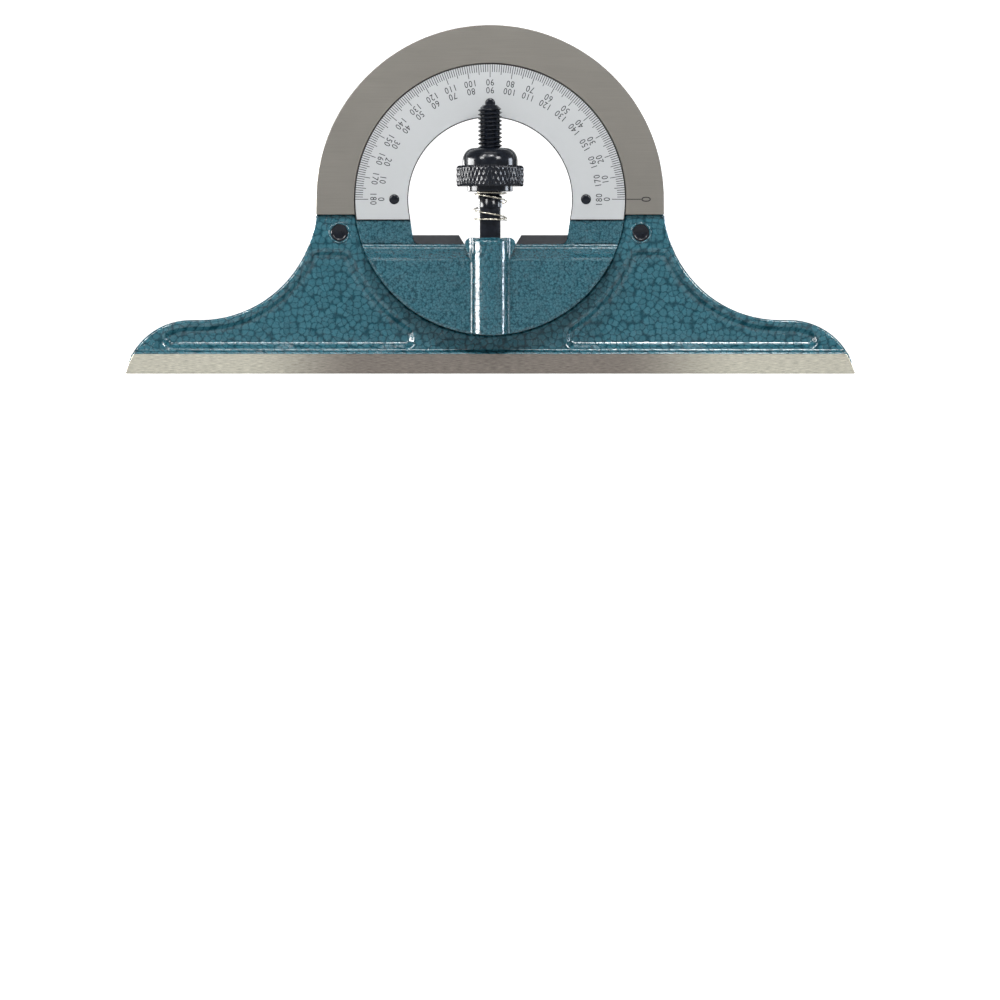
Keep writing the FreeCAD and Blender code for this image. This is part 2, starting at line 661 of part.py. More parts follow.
def clamp_bolt():
    """Hook bolt: threaded stem, square shank and a hook that draws the rule against its seat."""
    tip = TURRET_Z + BOLT_TIP_RISE
    shank_top = TURRET_Z - SHANK_TOP_DROP
    half = SHANK_WIDTH / 2
    cone_base = tip - BOLT_TIP_CHAMFER
    up = Vector(0, 0, 1)
    stem = Part.makeCylinder(BOLT_RADIUS, cone_base - shank_top, Vector(0, BOLT_Y, shank_top), up)
    cone = Part.makeCone(BOLT_RADIUS, BOLT_RADIUS - BOLT_TIP_CHAMFER, BOLT_TIP_CHAMFER,
                         Vector(0, BOLT_Y, cone_base), up)
    shank = block(-half, half, BOLT_Y - half, BOLT_Y + half, SHANK_END_Z, shank_top)
    rear = BOLT_Y + half
    hook_half = HOOK_HEIGHT / 2
    slope = (HOOK_HEIGHT / 2) * (1 - HOOK_NOSE)
    points = [
        (rear, GROOVE_MIDDLE_Z - hook_half),
        (rear + HOOK_REACH, GROOVE_MIDDLE_Z - hook_half + slope),
        (rear + HOOK_REACH, GROOVE_MIDDLE_Z + hook_half - slope),
        (rear, GROOVE_MIDDLE_Z + hook_half),
    ]
    corners = [Vector(-half, y, z) for y, z in points]
    hook = Part.Face(Part.makePolygon(corners + corners[:1])).extrude(Vector(SHANK_WIDTH, 0, 0))
    return stem.fuse([cone, shank, hook]).removeSplitter()


def clamp_nut():
    """Knurled thumb nut: collar, knurled band and domed top, bored for the bolt's thread."""
    bore = BOLT_RADIUS + NUT_BORE_CLEARANCE
    z_bottom = TURRET_Z + NUT_COLLAR_RISE
    z_band = z_bottom + NUT_COLLAR_HEIGHT
    z_band_top = z_band + NUT_KNURL_HEIGHT
    z_dome = z_band_top + NUT_DOME_CYLINDER
    z_top = z_dome + NUT_DOME_HEIGHT
    chamfer = NUT_KNURL_CHAMFER
    spread = NUT_DOME_RADIUS - NUT_DOME_TOP_RADIUS
    corners = [
        (bore, z_top),
        (bore, z_bottom),
        (NUT_COLLAR_RADIUS, z_bottom),
        (NUT_COLLAR_RADIUS, z_band),
        (NUT_KNURL_RADIUS - chamfer, z_band),
        (NUT_KNURL_RADIUS, z_band + chamfer),
        (NUT_KNURL_RADIUS, z_band_top - chamfer),
        (NUT_KNURL_RADIUS - chamfer, z_band_top),
        (NUT_DOME_RADIUS, z_band_top),
    ]
    for band in range(NUT_DOME_BANDS + 1):
        angle = math.pi / 2 * band / NUT_DOME_BANDS
        radius = NUT_DOME_TOP_RADIUS + spread * math.cos(angle)
        corners.append((radius, z_dome + NUT_DOME_HEIGHT * math.sin(angle)))
    points = [Vector(radius, BOLT_Y, z) for radius, z in corners]
    section = Part.Face(Part.makePolygon(points + points[:1]))
    return section.revolve(Vector(0, BOLT_Y, 0), Vector(0, 0, 1), 360)


def spring_height(turn):
    """Height of the spring's wire above its first turn, closed at both ends and open between."""
    open_rise = SPRING_LENGTH - SPRING_WIRE - 2 * SPRING_CLOSED_TURNS * SPRING_CLOSED_PITCH
    opened = min(max(turn - SPRING_CLOSED_TURNS, 0.0), SPRING_OPEN_TURNS)
    return (turn - opened) * SPRING_CLOSED_PITCH + opened * open_rise / SPRING_OPEN_TURNS


def clamp_spring():
    """Left-hand coil spring under the nut's collar, round the bolt's square shank."""
    wire_radius = SPRING_WIRE / 2
    corner = SHANK_WIDTH / 2 * math.sqrt(2)
    radius = corner + SPRING_SQUARE_GAP + wire_radius
    start_z = TURRET_Z + NUT_COLLAR_RISE - SPRING_LENGTH + wire_radius
    turns = 2 * SPRING_CLOSED_TURNS + SPRING_OPEN_TURNS
    count = round(turns * SPRING_STEPS)
    step = turns / count
    corners = []
    for side in range(SPRING_SIDES + 1):
        angle = 2 * math.pi * side / SPRING_SIDES
        corners.append(Vector(radius + wire_radius * math.cos(angle), 0, wire_radius * math.sin(angle)))
    sections = []
    for index in range(count + 1):
        turn = index * step
        rise = spring_height(turn + step / 2) - spring_height(turn - step / 2)
        tilt = math.degrees(math.atan(rise / (2 * math.pi * radius * step)))
        section = Part.makePolygon(corners)
        section.rotate(Vector(radius, 0, 0), Vector(1, 0, 0), -tilt)
        section.rotate(Vector(0, 0, 0), Vector(0, 0, 1), -360 * turn)
        section.translate(Vector(0, BOLT_Y, start_z + spring_height(turn)))
        sections.append(section)
    return Part.makeLoft(sections, True, True)


def lock_shoe(x):
    """Round shoe that bridges the stock and the turret's flange."""
    rear = WEB_REAR_Y + SHOE_THICKNESS
    bore = STUD_RADIUS + LOCK_CLEARANCE
    shoe = faceted_along_y(x, STUD_Z, [(SHOE_RADIUS, WEB_REAR_Y), (SHOE_RADIUS, rear)], LOCK_SIDES)
    return shoe.cut(faceted_along_y(x, STUD_Z, [(bore, WEB_REAR_Y), (bore, rear)], LOCK_SIDES))


def lock_washer(x):
    """Spring washer between the shoe and the lock nut."""
    front = WEB_REAR_Y + SHOE_THICKNESS
    rear = front + WASHER_THICKNESS
    bore = STUD_RADIUS + LOCK_CLEARANCE
    washer = faceted_along_y(x, STUD_Z, [(WASHER_RADIUS, front), (WASHER_RADIUS, rear)], LOCK_SIDES)
    return washer.cut(faceted_along_y(x, STUD_Z, [(bore, front), (bore, rear)], LOCK_SIDES))


def lock_nut(x):
    """Knurled nut of a swivel lock."""
    bore = STUD_RADIUS + LOCK_CLEARANCE
    front = WEB_REAR_Y + SHOE_THICKNESS + WASHER_THICKNESS
    band = front + LOCK_NUT_HUB_HEIGHT
    band_end = band + LOCK_NUT_KNURL_HEIGHT
    rear = band_end + LOCK_NUT_CAP_HEIGHT
    chamfer = LOCK_NUT_KNURL_CHAMFER
    profile = [
        (LOCK_NUT_HUB_RADIUS, front),
        (LOCK_NUT_HUB_RADIUS, band),
        (LOCK_NUT_KNURL_RADIUS - chamfer, band),
        (LOCK_NUT_KNURL_RADIUS, band + chamfer),
        (LOCK_NUT_KNURL_RADIUS, band_end - chamfer),
        (LOCK_NUT_KNURL_RADIUS - chamfer, band_end),
        (LOCK_NUT_HUB_RADIUS, band_end),
        (LOCK_NUT_HUB_RADIUS - LOCK_NUT_CAP_HEIGHT, rear),
    ]
    nut = faceted_along_y(x, STUD_Z, profile, LOCK_SIDES)
    return nut.cut(faceted_along_y(x, STUD_Z, [(bore, front), (bore, rear)], LOCK_SIDES))


def nodes():
    """Every piece of the object by its node's name."""
    pieces = {
        "stock_casting": stock_casting(),
        "arc_ring": arc_ring(),
        "arc_ring_screws": arc_ring_screws(),
        "turret_casting": turret_casting(),
        "turret_back_plate": turret_back_plate(),
        "back_plate_screws": back_plate_screws(),
        "dial_plate": dial_plate(),
        "dial_screw_right": dial_screw(0.0),
        "dial_screw_top": dial_screw(90.0),
        "dial_screw_left": dial_screw(180.0),
        "clamp_bolt": clamp_bolt(),
        "clamp_spring": clamp_spring(),
        "clamp_nut": clamp_nut(),
    }
    for side, x in (("left", -STUD_X), ("right", STUD_X)):
        pieces["lock_stud_" + side] = lock_stud(x)
        pieces["lock_shoe_" + side] = lock_shoe(x)
        pieces["lock_washer_" + side] = lock_washer(x)
        pieces["lock_nut_" + side] = lock_nut(x)
    return pieces


def main():
    os.makedirs("parts", exist_ok=True)
    for name, shape in nodes().items():
        shape.exportStep("parts/" + name + ".step")
        box = shape.BoundBox
        print(name, len(shape.Solids), "solids", round(shape.Volume, 2), "mm3", shape.isValid(),
              [round(value, 2) for value in (box.XMin, box.YMin, box.ZMin, box.XMax, box.YMax, box.ZMax)])


main()
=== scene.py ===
import json
import math

import bmesh
import bpy
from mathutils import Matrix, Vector


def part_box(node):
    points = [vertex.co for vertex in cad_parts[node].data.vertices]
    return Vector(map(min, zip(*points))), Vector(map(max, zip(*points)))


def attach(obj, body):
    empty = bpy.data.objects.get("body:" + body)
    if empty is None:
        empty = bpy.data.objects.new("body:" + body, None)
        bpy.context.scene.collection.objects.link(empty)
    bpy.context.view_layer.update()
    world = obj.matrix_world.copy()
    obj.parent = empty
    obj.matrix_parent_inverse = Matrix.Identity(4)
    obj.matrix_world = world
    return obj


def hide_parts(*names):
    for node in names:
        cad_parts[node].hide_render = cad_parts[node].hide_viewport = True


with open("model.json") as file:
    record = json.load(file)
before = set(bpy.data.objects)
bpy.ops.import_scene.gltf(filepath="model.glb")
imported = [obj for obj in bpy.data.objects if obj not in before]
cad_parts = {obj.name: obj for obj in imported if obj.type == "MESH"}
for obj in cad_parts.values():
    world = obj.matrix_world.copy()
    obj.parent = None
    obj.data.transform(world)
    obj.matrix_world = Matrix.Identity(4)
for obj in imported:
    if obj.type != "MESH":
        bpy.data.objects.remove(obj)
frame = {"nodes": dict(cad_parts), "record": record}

bl_info = {
    "name": "Bevel Protractor Looks",
    "version": (1, 0, 0),
    "blender": (4, 5, 0),
    "location": "3D View > Sidebar > Protractor",
    "description": "Gives the protractor head its rounded castings, dial markings, thread, knurls and looks",
    "category": "Object",
}

MM = 0.001

RIGHT, REARWARDS, UP = (1, 0, 0), (0, 1, 0), (0, 0, 1)
WELD = 0.001 * MM
SIDES = ("left", "right")
STUDS = ("lock_stud_left", "lock_stud_right")
DIAL_SCREWS = ("dial_screw_left", "dial_screw_top", "dial_screw_right")
RING_SCREW_ROW, RING_SCREW_ANGLES = 38.675 * MM, (12.0, 51.0, 90.0, 129.0, 168.0)
PLATE_SCREW_ROW, PLATE_SCREW_ANGLES = 27.4 * MM, (45.0, 135.0, -19.5, 199.5)
SHANK_HALF = 2.55 * MM
THREAD_PROFILE = (0.0, 0.1, 0.42, 0.85, 1.0, 0.85, 0.42, 0.1)
SLOT_FINISH = {"hammertone_paint": "paint_stock", "ground_steel": "steel", "satin_chrome": "satin",
               "black_oxide": "black", "spring_wire": "wire"}
MATERIALS = {}


def length(name, description, default, low=0.0, high=1.0):
    """Length property in metres."""
    return bpy.props.FloatProperty(name=name, description=description, default=default, min=low, max=high,
                                   precision=5, unit="LENGTH", subtype="DISTANCE")


def number(name, description, default, low=0.0, high=1000.0):
    """Plain number property."""
    return bpy.props.FloatProperty(name=name, description=description, default=default, min=low, max=high,
                                   subtype="NONE")


def count(name, description, default, low=1, high=400):
    """Whole number property."""
    return bpy.props.IntProperty(name=name, description=description, default=default, min=low, max=high,
                                 subtype="UNSIGNED")


def tint(name, description, default):
    """Linear colour property."""
    return bpy.props.FloatVectorProperty(name=name, description=description, default=default,
                                         min=0.0, max=1.0, size=3, subtype="COLOR")


class ProtractorCastings(bpy.types.PropertyGroup):
    """Rounding of the cast and ground pieces."""

    stock_round: length("Stock rounding", "Rounding of the stock's painted edges", 0.6 * MM)
    turret_round: length("Turret rounding", "Rounding of the turret's painted edges", 0.22 * MM)
    steel_round: length("Steel rounding", "Rounding of the ground steel edges", 0.12 * MM)
    segments: count("Segments", "Faces across a rounded edge", 4, 1, 8)
    sharp_angle: number("Sharp angle", "Edges that turn by more degrees than this are rounded", 28.0, 5, 90)
    paint_ring_radius: length("Paint ring", "Radius of the bead of paint round a stud", 2.38 * MM)
    paint_ring_thickness: length("Paint bead", "Half thickness of that bead", 0.26 * MM)


class ProtractorDial(bpy.types.PropertyGroup):
    """Markings of the dial and of the ring."""

    proud: length("Proud", "How far the markings stand off the metal", 0.012 * MM)
    line_width: length("Line width", "Width of a graduation", 0.16 * MM)
    degree_length: length("Degree line", "Length of a one degree line", 2.0 * MM)
    five_length: length("Five degree line", "Length of a five degree line", 2.6 * MM)
    ten_length: length("Ten degree line", "Length of a ten degree line", 3.3 * MM)
    outer_row: length("Outer row", "Radius of the middle of the outer row of numerals", 28.35 * MM)
    inner_row: length("Inner row", "Radius of the middle of the inner row of numerals", 26.45 * MM)
    digit_height: length("Digit height", "Height of a numeral", 1.6 * MM)
    index_height: length("Index numeral", "Height of the numeral on the ring", 2.4 * MM)
    index_length: length("Index line", "Length of the index line on the ring", 3.6 * MM)
    # The dial's rounded edge is this wide, and it takes the dark marking fill as painted shade in the gap
    # round the dial.
    edge_width: length("Shaded edge", "Width of the shaded edge round the dial", 0.22 * MM)


class ProtractorClamp(bpy.types.PropertyGroup):
    """Thread, knurls and spring of the clamp and of the lock nuts."""

    thread_pitch: length("Thread pitch", "Pitch of the clamp bolt's thread", 1.0 * MM)
    thread_depth: length("Thread depth", "Depth of the clamp bolt's thread", 0.61 * MM)
    thread_sides: count("Thread sides", "Points round the thread", 48, 12, 96)
    knurl_depth: length("Knurl depth", "Depth of the diamond knurl", 0.3 * MM)
    knurl_count: count("Knurl count", "Diamonds round the clamp nut", 50, 8, 100)
    knurl_rows: number("Knurl rows", "Diamonds along the clamp nut's band", 3.6, 1, 20)
    lock_knurl_count: count("Lock knurl count", "Ridges round a lock nut", 40, 8, 100)
    spring_sides: count("Spring sides", "Points round the spring's wire", 12, 6, 32)
    spring_steps: count("Spring steps", "Sections in a turn of the spring", 48, 12, 96)


class ProtractorFinish(bpy.types.PropertyGroup):
    """Colours of the finishes and sizes of the enamel's cells."""

    paint_light: tint("Paint light", "Light cells of the hammertone enamel", (0.036, 0.146, 0.190))
    paint_dark: tint("Paint dark", "Dark borders of the hammertone enamel", (0.0, 0.040, 0.060))
    steel: tint("Ground steel", "Colour of the ground steel", (0.222, 0.211, 0.190))
    strip: tint("Ground strip", "Colour of the base's ground strip in its middle", (0.205, 0.182, 0.161))
    # Painted sheen: the ground strip is given a lighter colour towards its ends, standing in for the light it
    # catches there.
    strip_end: tint("Strip end sheen", "Colour of the base's ground strip towards its ends", (0.50, 0.485, 0.41))
    satin: tint("Satin plating", "Colour of the dial", (0.428, 0.443, 0.453))
    black: tint("Black oxide", "Colour of the blackened steel", (0.006, 0.008, 0.013))
    wire: tint("Spring wire", "Colour of the spring", (0.34, 0.32, 0.27))
    # This dark colour also fills the dial's rounded edge and sides as painted shade.
    marking: tint("Markings", "Colour of the filled markings", (0.01, 0.01, 0.011))
    stock_cell: length("Stock cell", "Size of a hammertone cell on the stock", 1.55 * MM)
    turret_cell: length("Turret cell", "Size of a hammertone cell on the turret", 0.75 * MM)


class ProtractorStage(bpy.types.PropertyGroup):
    """Camera, backdrop and lights."""

    camera_distance: length("Camera distance", "Distance from the camera to the dial's side", 1.5, 0.2, 5.0)
    camera_height: length("Camera height", "Height of the camera over the base", 12.0 * MM)
    aim_right: length("Aim to the right", "Sideways place of the picture's middle", 2.4 * MM)
    aim_height: length("Aim height", "Height of the picture's middle at the object", -30.7 * MM, -1.0, 1.0)
    field: length("Field", "Width that the picture shows at the object", 243.2 * MM)
    room_light: number("Room light", "Strength of the soft light from all sides", 0.35, 0, 10)
    front_light: number("Front light", "Power of the large dim light over the camera, in watts", 3.3, 0, 500)
    top_light: number("Top light", "Power of the narrow light overhead, in watts", 0.8, 0, 500)
    left_light: number("Left light", "Power of the light at the left, in watts", 23.0, 0, 500)
    right_light: number("Right light", "Power of the light at the right, in watts", 10.0, 0, 500)
    upper_lights: number("Upper lights", "Power of each light at an upper corner, in watts", 6.0, 0, 500)
    small_lamps: number("Small lamps", "Power of each small lamp over the camera, in watts", 6.0, 0, 500)
    white_lift: number("White lift", "Light that the camera alone sees on the floor and backdrop", 0.75, 0, 2)


SETTING_GROUPS = {
    "protractor_castings": ProtractorCastings,
    "protractor_dial": ProtractorDial,
    "protractor_clamp": ProtractorClamp,
    "protractor_finish": ProtractorFinish,
    "protractor_stage": ProtractorStage,
}


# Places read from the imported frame
def node_box(name):
    """Lowest and highest corner of a CAD node."""
    if name not in frame["nodes"]:
        raise RuntimeError("the packed frame has no node named " + name)
    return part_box(name)


def middle_of(name):
    """Middle of a CAD node's box."""
    low, high = node_box(name)
    return (low + high) / 2


def turret_centre():
    """Front-view centre of the turret, as (x, z)."""
    low, high = node_box("turret_back_plate")
    return (low.x + high.x) / 2, (low.z + high.z) / 2


def polar(centre, radius, degrees):
    """Front-view point on a circle."""
    angle = math.radians(degrees)
    return centre[0] + radius * math.cos(angle), centre[1] + radius * math.sin(angle)


def spots_at(nodes, radius):
    """Front-view spots at the middles of CAD nodes, as (x, z, radius)."""
    return [(middle_of(node).x, middle_of(node).z, radius) for node in nodes]


def spots_on_circle(row, angles, radius):
    """Front-view spots on a circle round the turret's centre, as (x, z, radius)."""
    return [(*polar(turret_centre(), row, angle), radius) for angle in angles]


# Shading networks
def add_node(tree, kind, inputs=None, **settings):
    """Node with its settings; an input takes a value or another node's output."""
    made = tree.nodes.new(kind)
    for key, value in settings.items():
        setattr(made, key, value)
    for key, value in (inputs or {}).items():
        if isinstance(value, bpy.types.NodeSocket):
            tree.links.new(value, made.inputs[key])
        else:
            made.inputs[key].default_value = value
    return made


def feed(tree, inputs, outputs):
    """Links from other nodes' outputs to the inputs of those names."""
    for name, output in outputs.items():
        tree.links.new(output, inputs[name])


def calculate(tree, operation, *inputs, **settings):
    """Output of a Math node."""
    made = add_node(tree, "ShaderNodeMath", dict(enumerate(inputs)), operation=operation, **settings)
    return made.outputs["Value"]


def vector_math(tree, operation, first, second, output="Vector"):
    """Output of a Vector Math node."""
    made = add_node(tree, "ShaderNodeVectorMath", {0: first, 1: second}, operation=operation)
    return made.outputs[output]


def scaled_colour(tree, colour, share):
    """Colour times a share."""
    made = add_node(tree, "ShaderNodeVectorMath", {0: colour, "Scale": share}, operation="SCALE")
    return made.outputs["Vector"]


def mixed_colour(tree, share, first, second):
    """Colour between two others."""
    made = add_node(tree, "ShaderNodeMix", {"Factor": share, "A": first, "B": second}, data_type="RGBA")
    return made.outputs["Result"]


def map_range(tree, value, source, target, kind="LINEAR"):
    """Value carried from one (low, high) range to another."""
    ends = {"Value": value, "From Min": source[0], "From Max": source[1],
            "To Min": target[0], "To Max": target[1]}
    return add_node(tree, "ShaderNodeMapRange", ends, interpolation_type=kind).outputs["Result"]


def noise(tree, place, scale, detail, roughness=0.5):
    """Outputs of a Noise texture."""
    inputs = {"Vector": place, "Scale": scale, "Detail": detail, "Roughness": roughness}
    return add_node(tree, "ShaderNodeTexNoise", inputs).outputs


def object_place(tree):
    """Object coordinates."""
    return add_node(tree, "ShaderNodeTexCoord").outputs["Object"]


def new_group(name, inputs, outputs):
    """Shader node group; returns its tree, the sockets that enter it and those that leave it."""
    tree = bpy.data.node_groups.new(name, "ShaderNodeTree")
    for socket, kind, default in inputs:
        made = tree.interface.new_socket(name=socket, in_out="INPUT", socket_type="NodeSocket" + kind)
        made.default_value = default
    for socket, kind in outputs:
        tree.interface.new_socket(name=socket, in_out="OUTPUT", socket_type="NodeSocket" + kind)
    return tree, tree.nodes.new("NodeGroupInput").outputs, tree.nodes.new("NodeGroupOutput").inputs


def hammertone_group():
    """Soft round cells of hammertone enamel with dark borders between them."""
    tree, entry, leave = new_group(
        "Hammertone cells",
        [("Cells per metre", "Float", 800.0), ("Light", "Color", (0.1, 0.3, 0.4, 1)),
         ("Dark", "Color", (0.02, 0.08, 0.1, 1)), ("Flake contrast", "Float", 0.3),
         ("Border level", "Float", 0.0)],
        [("Color", "Color"), ("Roughness", "Float"), ("Height", "Float"), ("Gloss", "Float")],
    )
    place = object_place(tree)
    wobble = noise(tree, place, 1100.0, 3.0, 0.6)
    centred = vector_math(tree, "SUBTRACT", wobble["Color"], (0.5, 0.5, 0.5))
    shift = vector_math(tree, "MULTIPLY", centred, (0.0012, 0.0012, 0.0012))
    moved = vector_math(tree, "ADD", place, shift)
    # A slanted flat pattern, so that front, top and side faces all show whole cells
    across = vector_math(tree, "DOT_PRODUCT", moved, (1.0, 0.6, 0.0), "Value")
    upward = vector_math(tree, "DOT_PRODUCT", moved, (0.0, 0.45, 1.0), "Value")
    laid = add_node(tree, "ShaderNodeCombineXYZ", {"X": across, "Y": upward}).outputs["Vector"]
    edge, cell = [
        add_node(tree, "ShaderNodeTexVoronoi",
                 {"Vector": laid, "Scale": entry["Cells per metre"], "Randomness": 0.9},
                 feature=feature, voronoi_dimensions="2D").outputs
        for feature in ("DISTANCE_TO_EDGE", "F1")]
    gap = map_range(tree, edge["Distance"], (0.0, 0.15), (entry["Border level"], 1.0), "SMOOTHSTEP")
    dome = map_range(tree, cell["Distance"], (0.38, 0.75), (1.0, 0.25), "SMOOTHSTEP")
    shade = calculate(tree, "MULTIPLY", gap, dome)
    own_tone = add_node(tree, "ShaderNodeSeparateColor", {"Color": cell["Color"]}).outputs["Red"]
    body = calculate(tree, "MULTIPLY", shade, map_range(tree, own_tone, (0.0, 1.0), (0.75, 1.05)))
    flake = noise(tree, place, 2600.0, 2.0, 0.6)["Fac"]
    fleck = map_range(tree, flake, (0.36, 0.5), (-1.0, 0.0), "SMOOTHSTEP")
    strong = calculate(tree, "MULTIPLY", fleck, entry["Flake contrast"])
    amount = calculate(tree, "ADD", body, strong, use_clamp=True)
    feed(tree, leave, {
        "Color": mixed_colour(tree, amount, entry["Dark"], entry["Light"]),
        "Roughness": map_range(tree, shade, (0.0, 1.0), (0.18, 0.1)),
        "Height": calculate(tree, "ADD", shade, calculate(tree, "MULTIPLY", flake, 0.15)),
        "Gloss": map_range(tree, wobble["Fac"], (0.44, 0.54), (0.2, 1.0), "SMOOTHSTEP"),
    })
    return tree


def brushed_group():
    """Fine straight scratches of ground or satin metal, turning lighter towards both ends by a painted sheen.
    """
    tree, entry, leave = new_group(
        "Brushed metal",
        [("Scratches", "Vector", (90.0, 90.0, 7000.0)), ("Base", "Color", (0.6, 0.6, 0.6, 1)),
         ("Sheen at ends", "Color", (0.6, 0.6, 0.6, 1)), ("Contrast", "Float", 0.3), ("Smoothest", "Float", 0.30),
         ("Roughest", "Float", 0.40)],
        [("Color", "Color"), ("Roughness", "Float"), ("Height", "Float")],
    )
    place = object_place(tree)
    sideways = add_node(tree, "ShaderNodeSeparateXYZ", {"Vector": place}).outputs["X"]
    away = calculate(tree, "ABSOLUTE", sideways)
    # Painted sheen: the colour turns lighter from 30 mm to 62 mm out from the middle.
    painted_sheen_share = map_range(tree, away, (30 * MM, 62 * MM), (0.0, 1.0), "SMOOTHSTEP")
    sheened_metal = mixed_colour(tree, painted_sheen_share, entry["Base"], entry["Sheen at ends"])
    stretched = vector_math(tree, "MULTIPLY", place, entry["Scratches"])
    grain = noise(tree, stretched, 1.0, 4.0, 0.65)["Fac"]
    swing = calculate(tree, "MULTIPLY", calculate(tree, "SUBTRACT", grain, 0.5), entry["Contrast"])
    drift = noise(tree, place, 45.0, 1.0)["Fac"]
    cloud = map_range(tree, drift, (0.3, 0.7), (0.985, 1.015))
    tone = calculate(tree, "MULTIPLY", calculate(tree, "ADD", swing, 1.0), cloud)
    feed(tree, leave, {
        "Color": scaled_colour(tree, sheened_metal, tone),
        "Roughness": map_range(tree, grain, (0.3, 0.7), (entry["Smoothest"], entry["Roughest"])),
        "Height": grain,
    })
    return tree


def mottled_group():
    """Uneven film of black oxide and oil."""
    tree, entry, leave = new_group(
        "Mottled film",
        [("Base", "Color", (0.03, 0.03, 0.03, 1)), ("Spots per metre", "Float", 900.0),
         ("Smoothest", "Float", 0.12), ("Roughest", "Float", 0.22)],
        [("Color", "Color"), ("Roughness", "Float"), ("Height", "Float")],
    )
    spots = noise(tree, object_place(tree), entry["Spots per metre"], 3.0, 0.6)["Fac"]
    feed(tree, leave, {
        "Color": scaled_colour(tree, entry["Base"], map_range(tree, spots, (0.3, 0.7), (0.7, 1.3))),
        "Roughness": map_range(tree, spots, (0.3, 0.7), (entry["Smoothest"], entry["Roughest"])),
        "Height": spots,
    })
    return tree


def finish_material(name, group, inputs, bump, constants):
    """Material of one shared group and a Principled shader; bump is its strength and its depth."""
    material = bpy.data.materials.new(name)
    material.use_nodes = True
    tree = material.node_tree
    shader = tree.nodes["Principled BSDF"].inputs
    for key, value in constants.items():
        shader[key].default_value = value
    pattern = add_node(tree, "ShaderNodeGroup", inputs, node_tree=group).outputs
    relief = add_node(tree, "ShaderNodeBump",
                      {"Strength": bump[0], "Distance": bump[1], "Height": pattern["Height"]})
    feed(tree, shader, {"Base Color": pattern["Color"], "Roughness": pattern["Roughness"],
                        "Normal": relief.outputs["Normal"]})
    if "Gloss" in pattern:
        feed(tree, shader, {"Coat Weight": pattern["Gloss"]})
    return material


def opaque(colour):
    """Colour with a full alpha."""
    return colour[0], colour[1], colour[2], 1.0


def make_materials(finish):
    """Every finish of the object by its name."""
    cells, brushed, mottled = hammertone_group(), brushed_group(), mottled_group()
    paint = {"Light": opaque(finish.paint_light), "Dark": opaque(finish.paint_dark)}
    steel, satin, black = opaque(finish.steel), opaque(finish.satin), opaque(finish.black)
    enamel = {"Metallic": 0.0, "Specular IOR Level": 0.2}
    ground = {"Metallic": 0.85, "Anisotropic": 0.4}
    ground_bump, film_bump, fine_bump = (0.15, 0.01 * MM), (0.1, 0.02 * MM), (0.05, 0.01 * MM)
    recipes = {
        "paint_stock": (
            "Hammertone enamel stock", cells,
            {**paint, "Cells per metre": 1.0 / finish.stock_cell, "Flake contrast": 0.25,
             "Border level": 0.3},
            (0.4, 0.1 * MM), enamel),
        "paint_turret": (
            "Hammertone enamel turret", cells,
            {**paint, "Cells per metre": 1.0 / finish.turret_cell, "Flake contrast": 0.8,
             "Border level": 0.4},
            (0.5, 0.08 * MM), enamel),
        "steel": ("Ground steel", brushed, {"Base": steel, "Sheen at ends": steel}, ground_bump, ground),
        # The strip's ends take a painted sheen of lighter colour.
        "strip": (
            "Ground strip", brushed,
            {"Base": opaque(finish.strip), "Sheen at ends": opaque(finish.strip_end),
             "Scratches": (600.0, 600.0, 7000.0), "Contrast": 2.0},
            ground_bump, ground),
        "satin": (
            "Satin plating", brushed,
            {"Base": satin, "Sheen at ends": satin, "Scratches": (900.0, 900.0, 900.0), "Contrast": 0.05,
             "Smoothest": 0.36, "Roughest": 0.44},
            fine_bump, {"Metallic": 0.6}),
        "black": (
            "Black oxide", mottled, {"Base": black}, film_bump,
            {"Metallic": 0.0, "Specular IOR Level": 0.25}),
        "black_plate": (
            "Black plate", mottled, {"Base": black, "Smoothest": 0.38, "Roughest": 0.5}, film_bump,
            {"Metallic": 0.0, "Specular IOR Level": 0.5}),
        "wire": (
            "Spring wire", mottled,
            {"Base": opaque(finish.wire), "Spots per metre": 2500.0, "Smoothest": 0.2, "Roughest": 0.3},
            fine_bump, {"Metallic": 0.9}),
        # The marking fill also serves as painted shade on the dial's rounded edge and sides.
        "marking": (
            "Marking fill and painted shade", mottled, {"Base": opaque(finish.marking), "Smoothest": 0.55, "Roughest": 0.65},
            fine_bump, {"Metallic": 0.0, "Specular IOR Level": 0.3}),
    }
    return {name: finish_material(*recipe) for name, recipe in recipes.items()}


# Meshes
def place_piece(name, bm, finishes, body, sharp=12.0, stands_for=(), level=False):
    """Finished mesh as a piece that rides on a body; level keeps its large flat faces evenly shaded."""
    if not bm.faces:
        raise RuntimeError("piece " + name + " has no faces")
    bmesh.ops.recalc_face_normals(bm, faces=bm.faces[:])
    mesh = bpy.data.meshes.new(name)
    bm.to_mesh(mesh)
    bm.free()
    for finish in finishes:
        mesh.materials.append(MATERIALS[finish])
    mesh.polygons.foreach_set("use_smooth", [True] * len(mesh.polygons))
    mesh.set_sharp_from_angle(angle=math.radians(sharp))
    made = bpy.data.objects.new(name, mesh)
    bpy.context.scene.collection.objects.link(made)
    if level:
        shading = made.modifiers.new("Level flats", "WEIGHTED_NORMAL")
        shading.mode = "FACE_AREA_WITH_ANGLE"
        shading.keep_sharp = True
    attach(made, body)
    if stands_for:
        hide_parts(*stands_for)


def merged_copy(node):
    """Copy of a CAD node's mesh with its doubled corners merged and its flat faces joined."""
    merge, flat_angle = 0.002 * MM, math.radians(0.6)
    bm = bmesh.new()
    bm.from_mesh(frame["nodes"][node].data)
    bmesh.ops.remove_doubles(bm, verts=bm.verts[:], dist=merge)
    bmesh.ops.dissolve_degenerate(bm, edges=bm.edges[:], dist=merge)
    bmesh.ops.dissolve_limit(bm, angle_limit=flat_angle, verts=bm.verts[:], edges=bm.edges[:])
    bm.normal_update()
    return bm


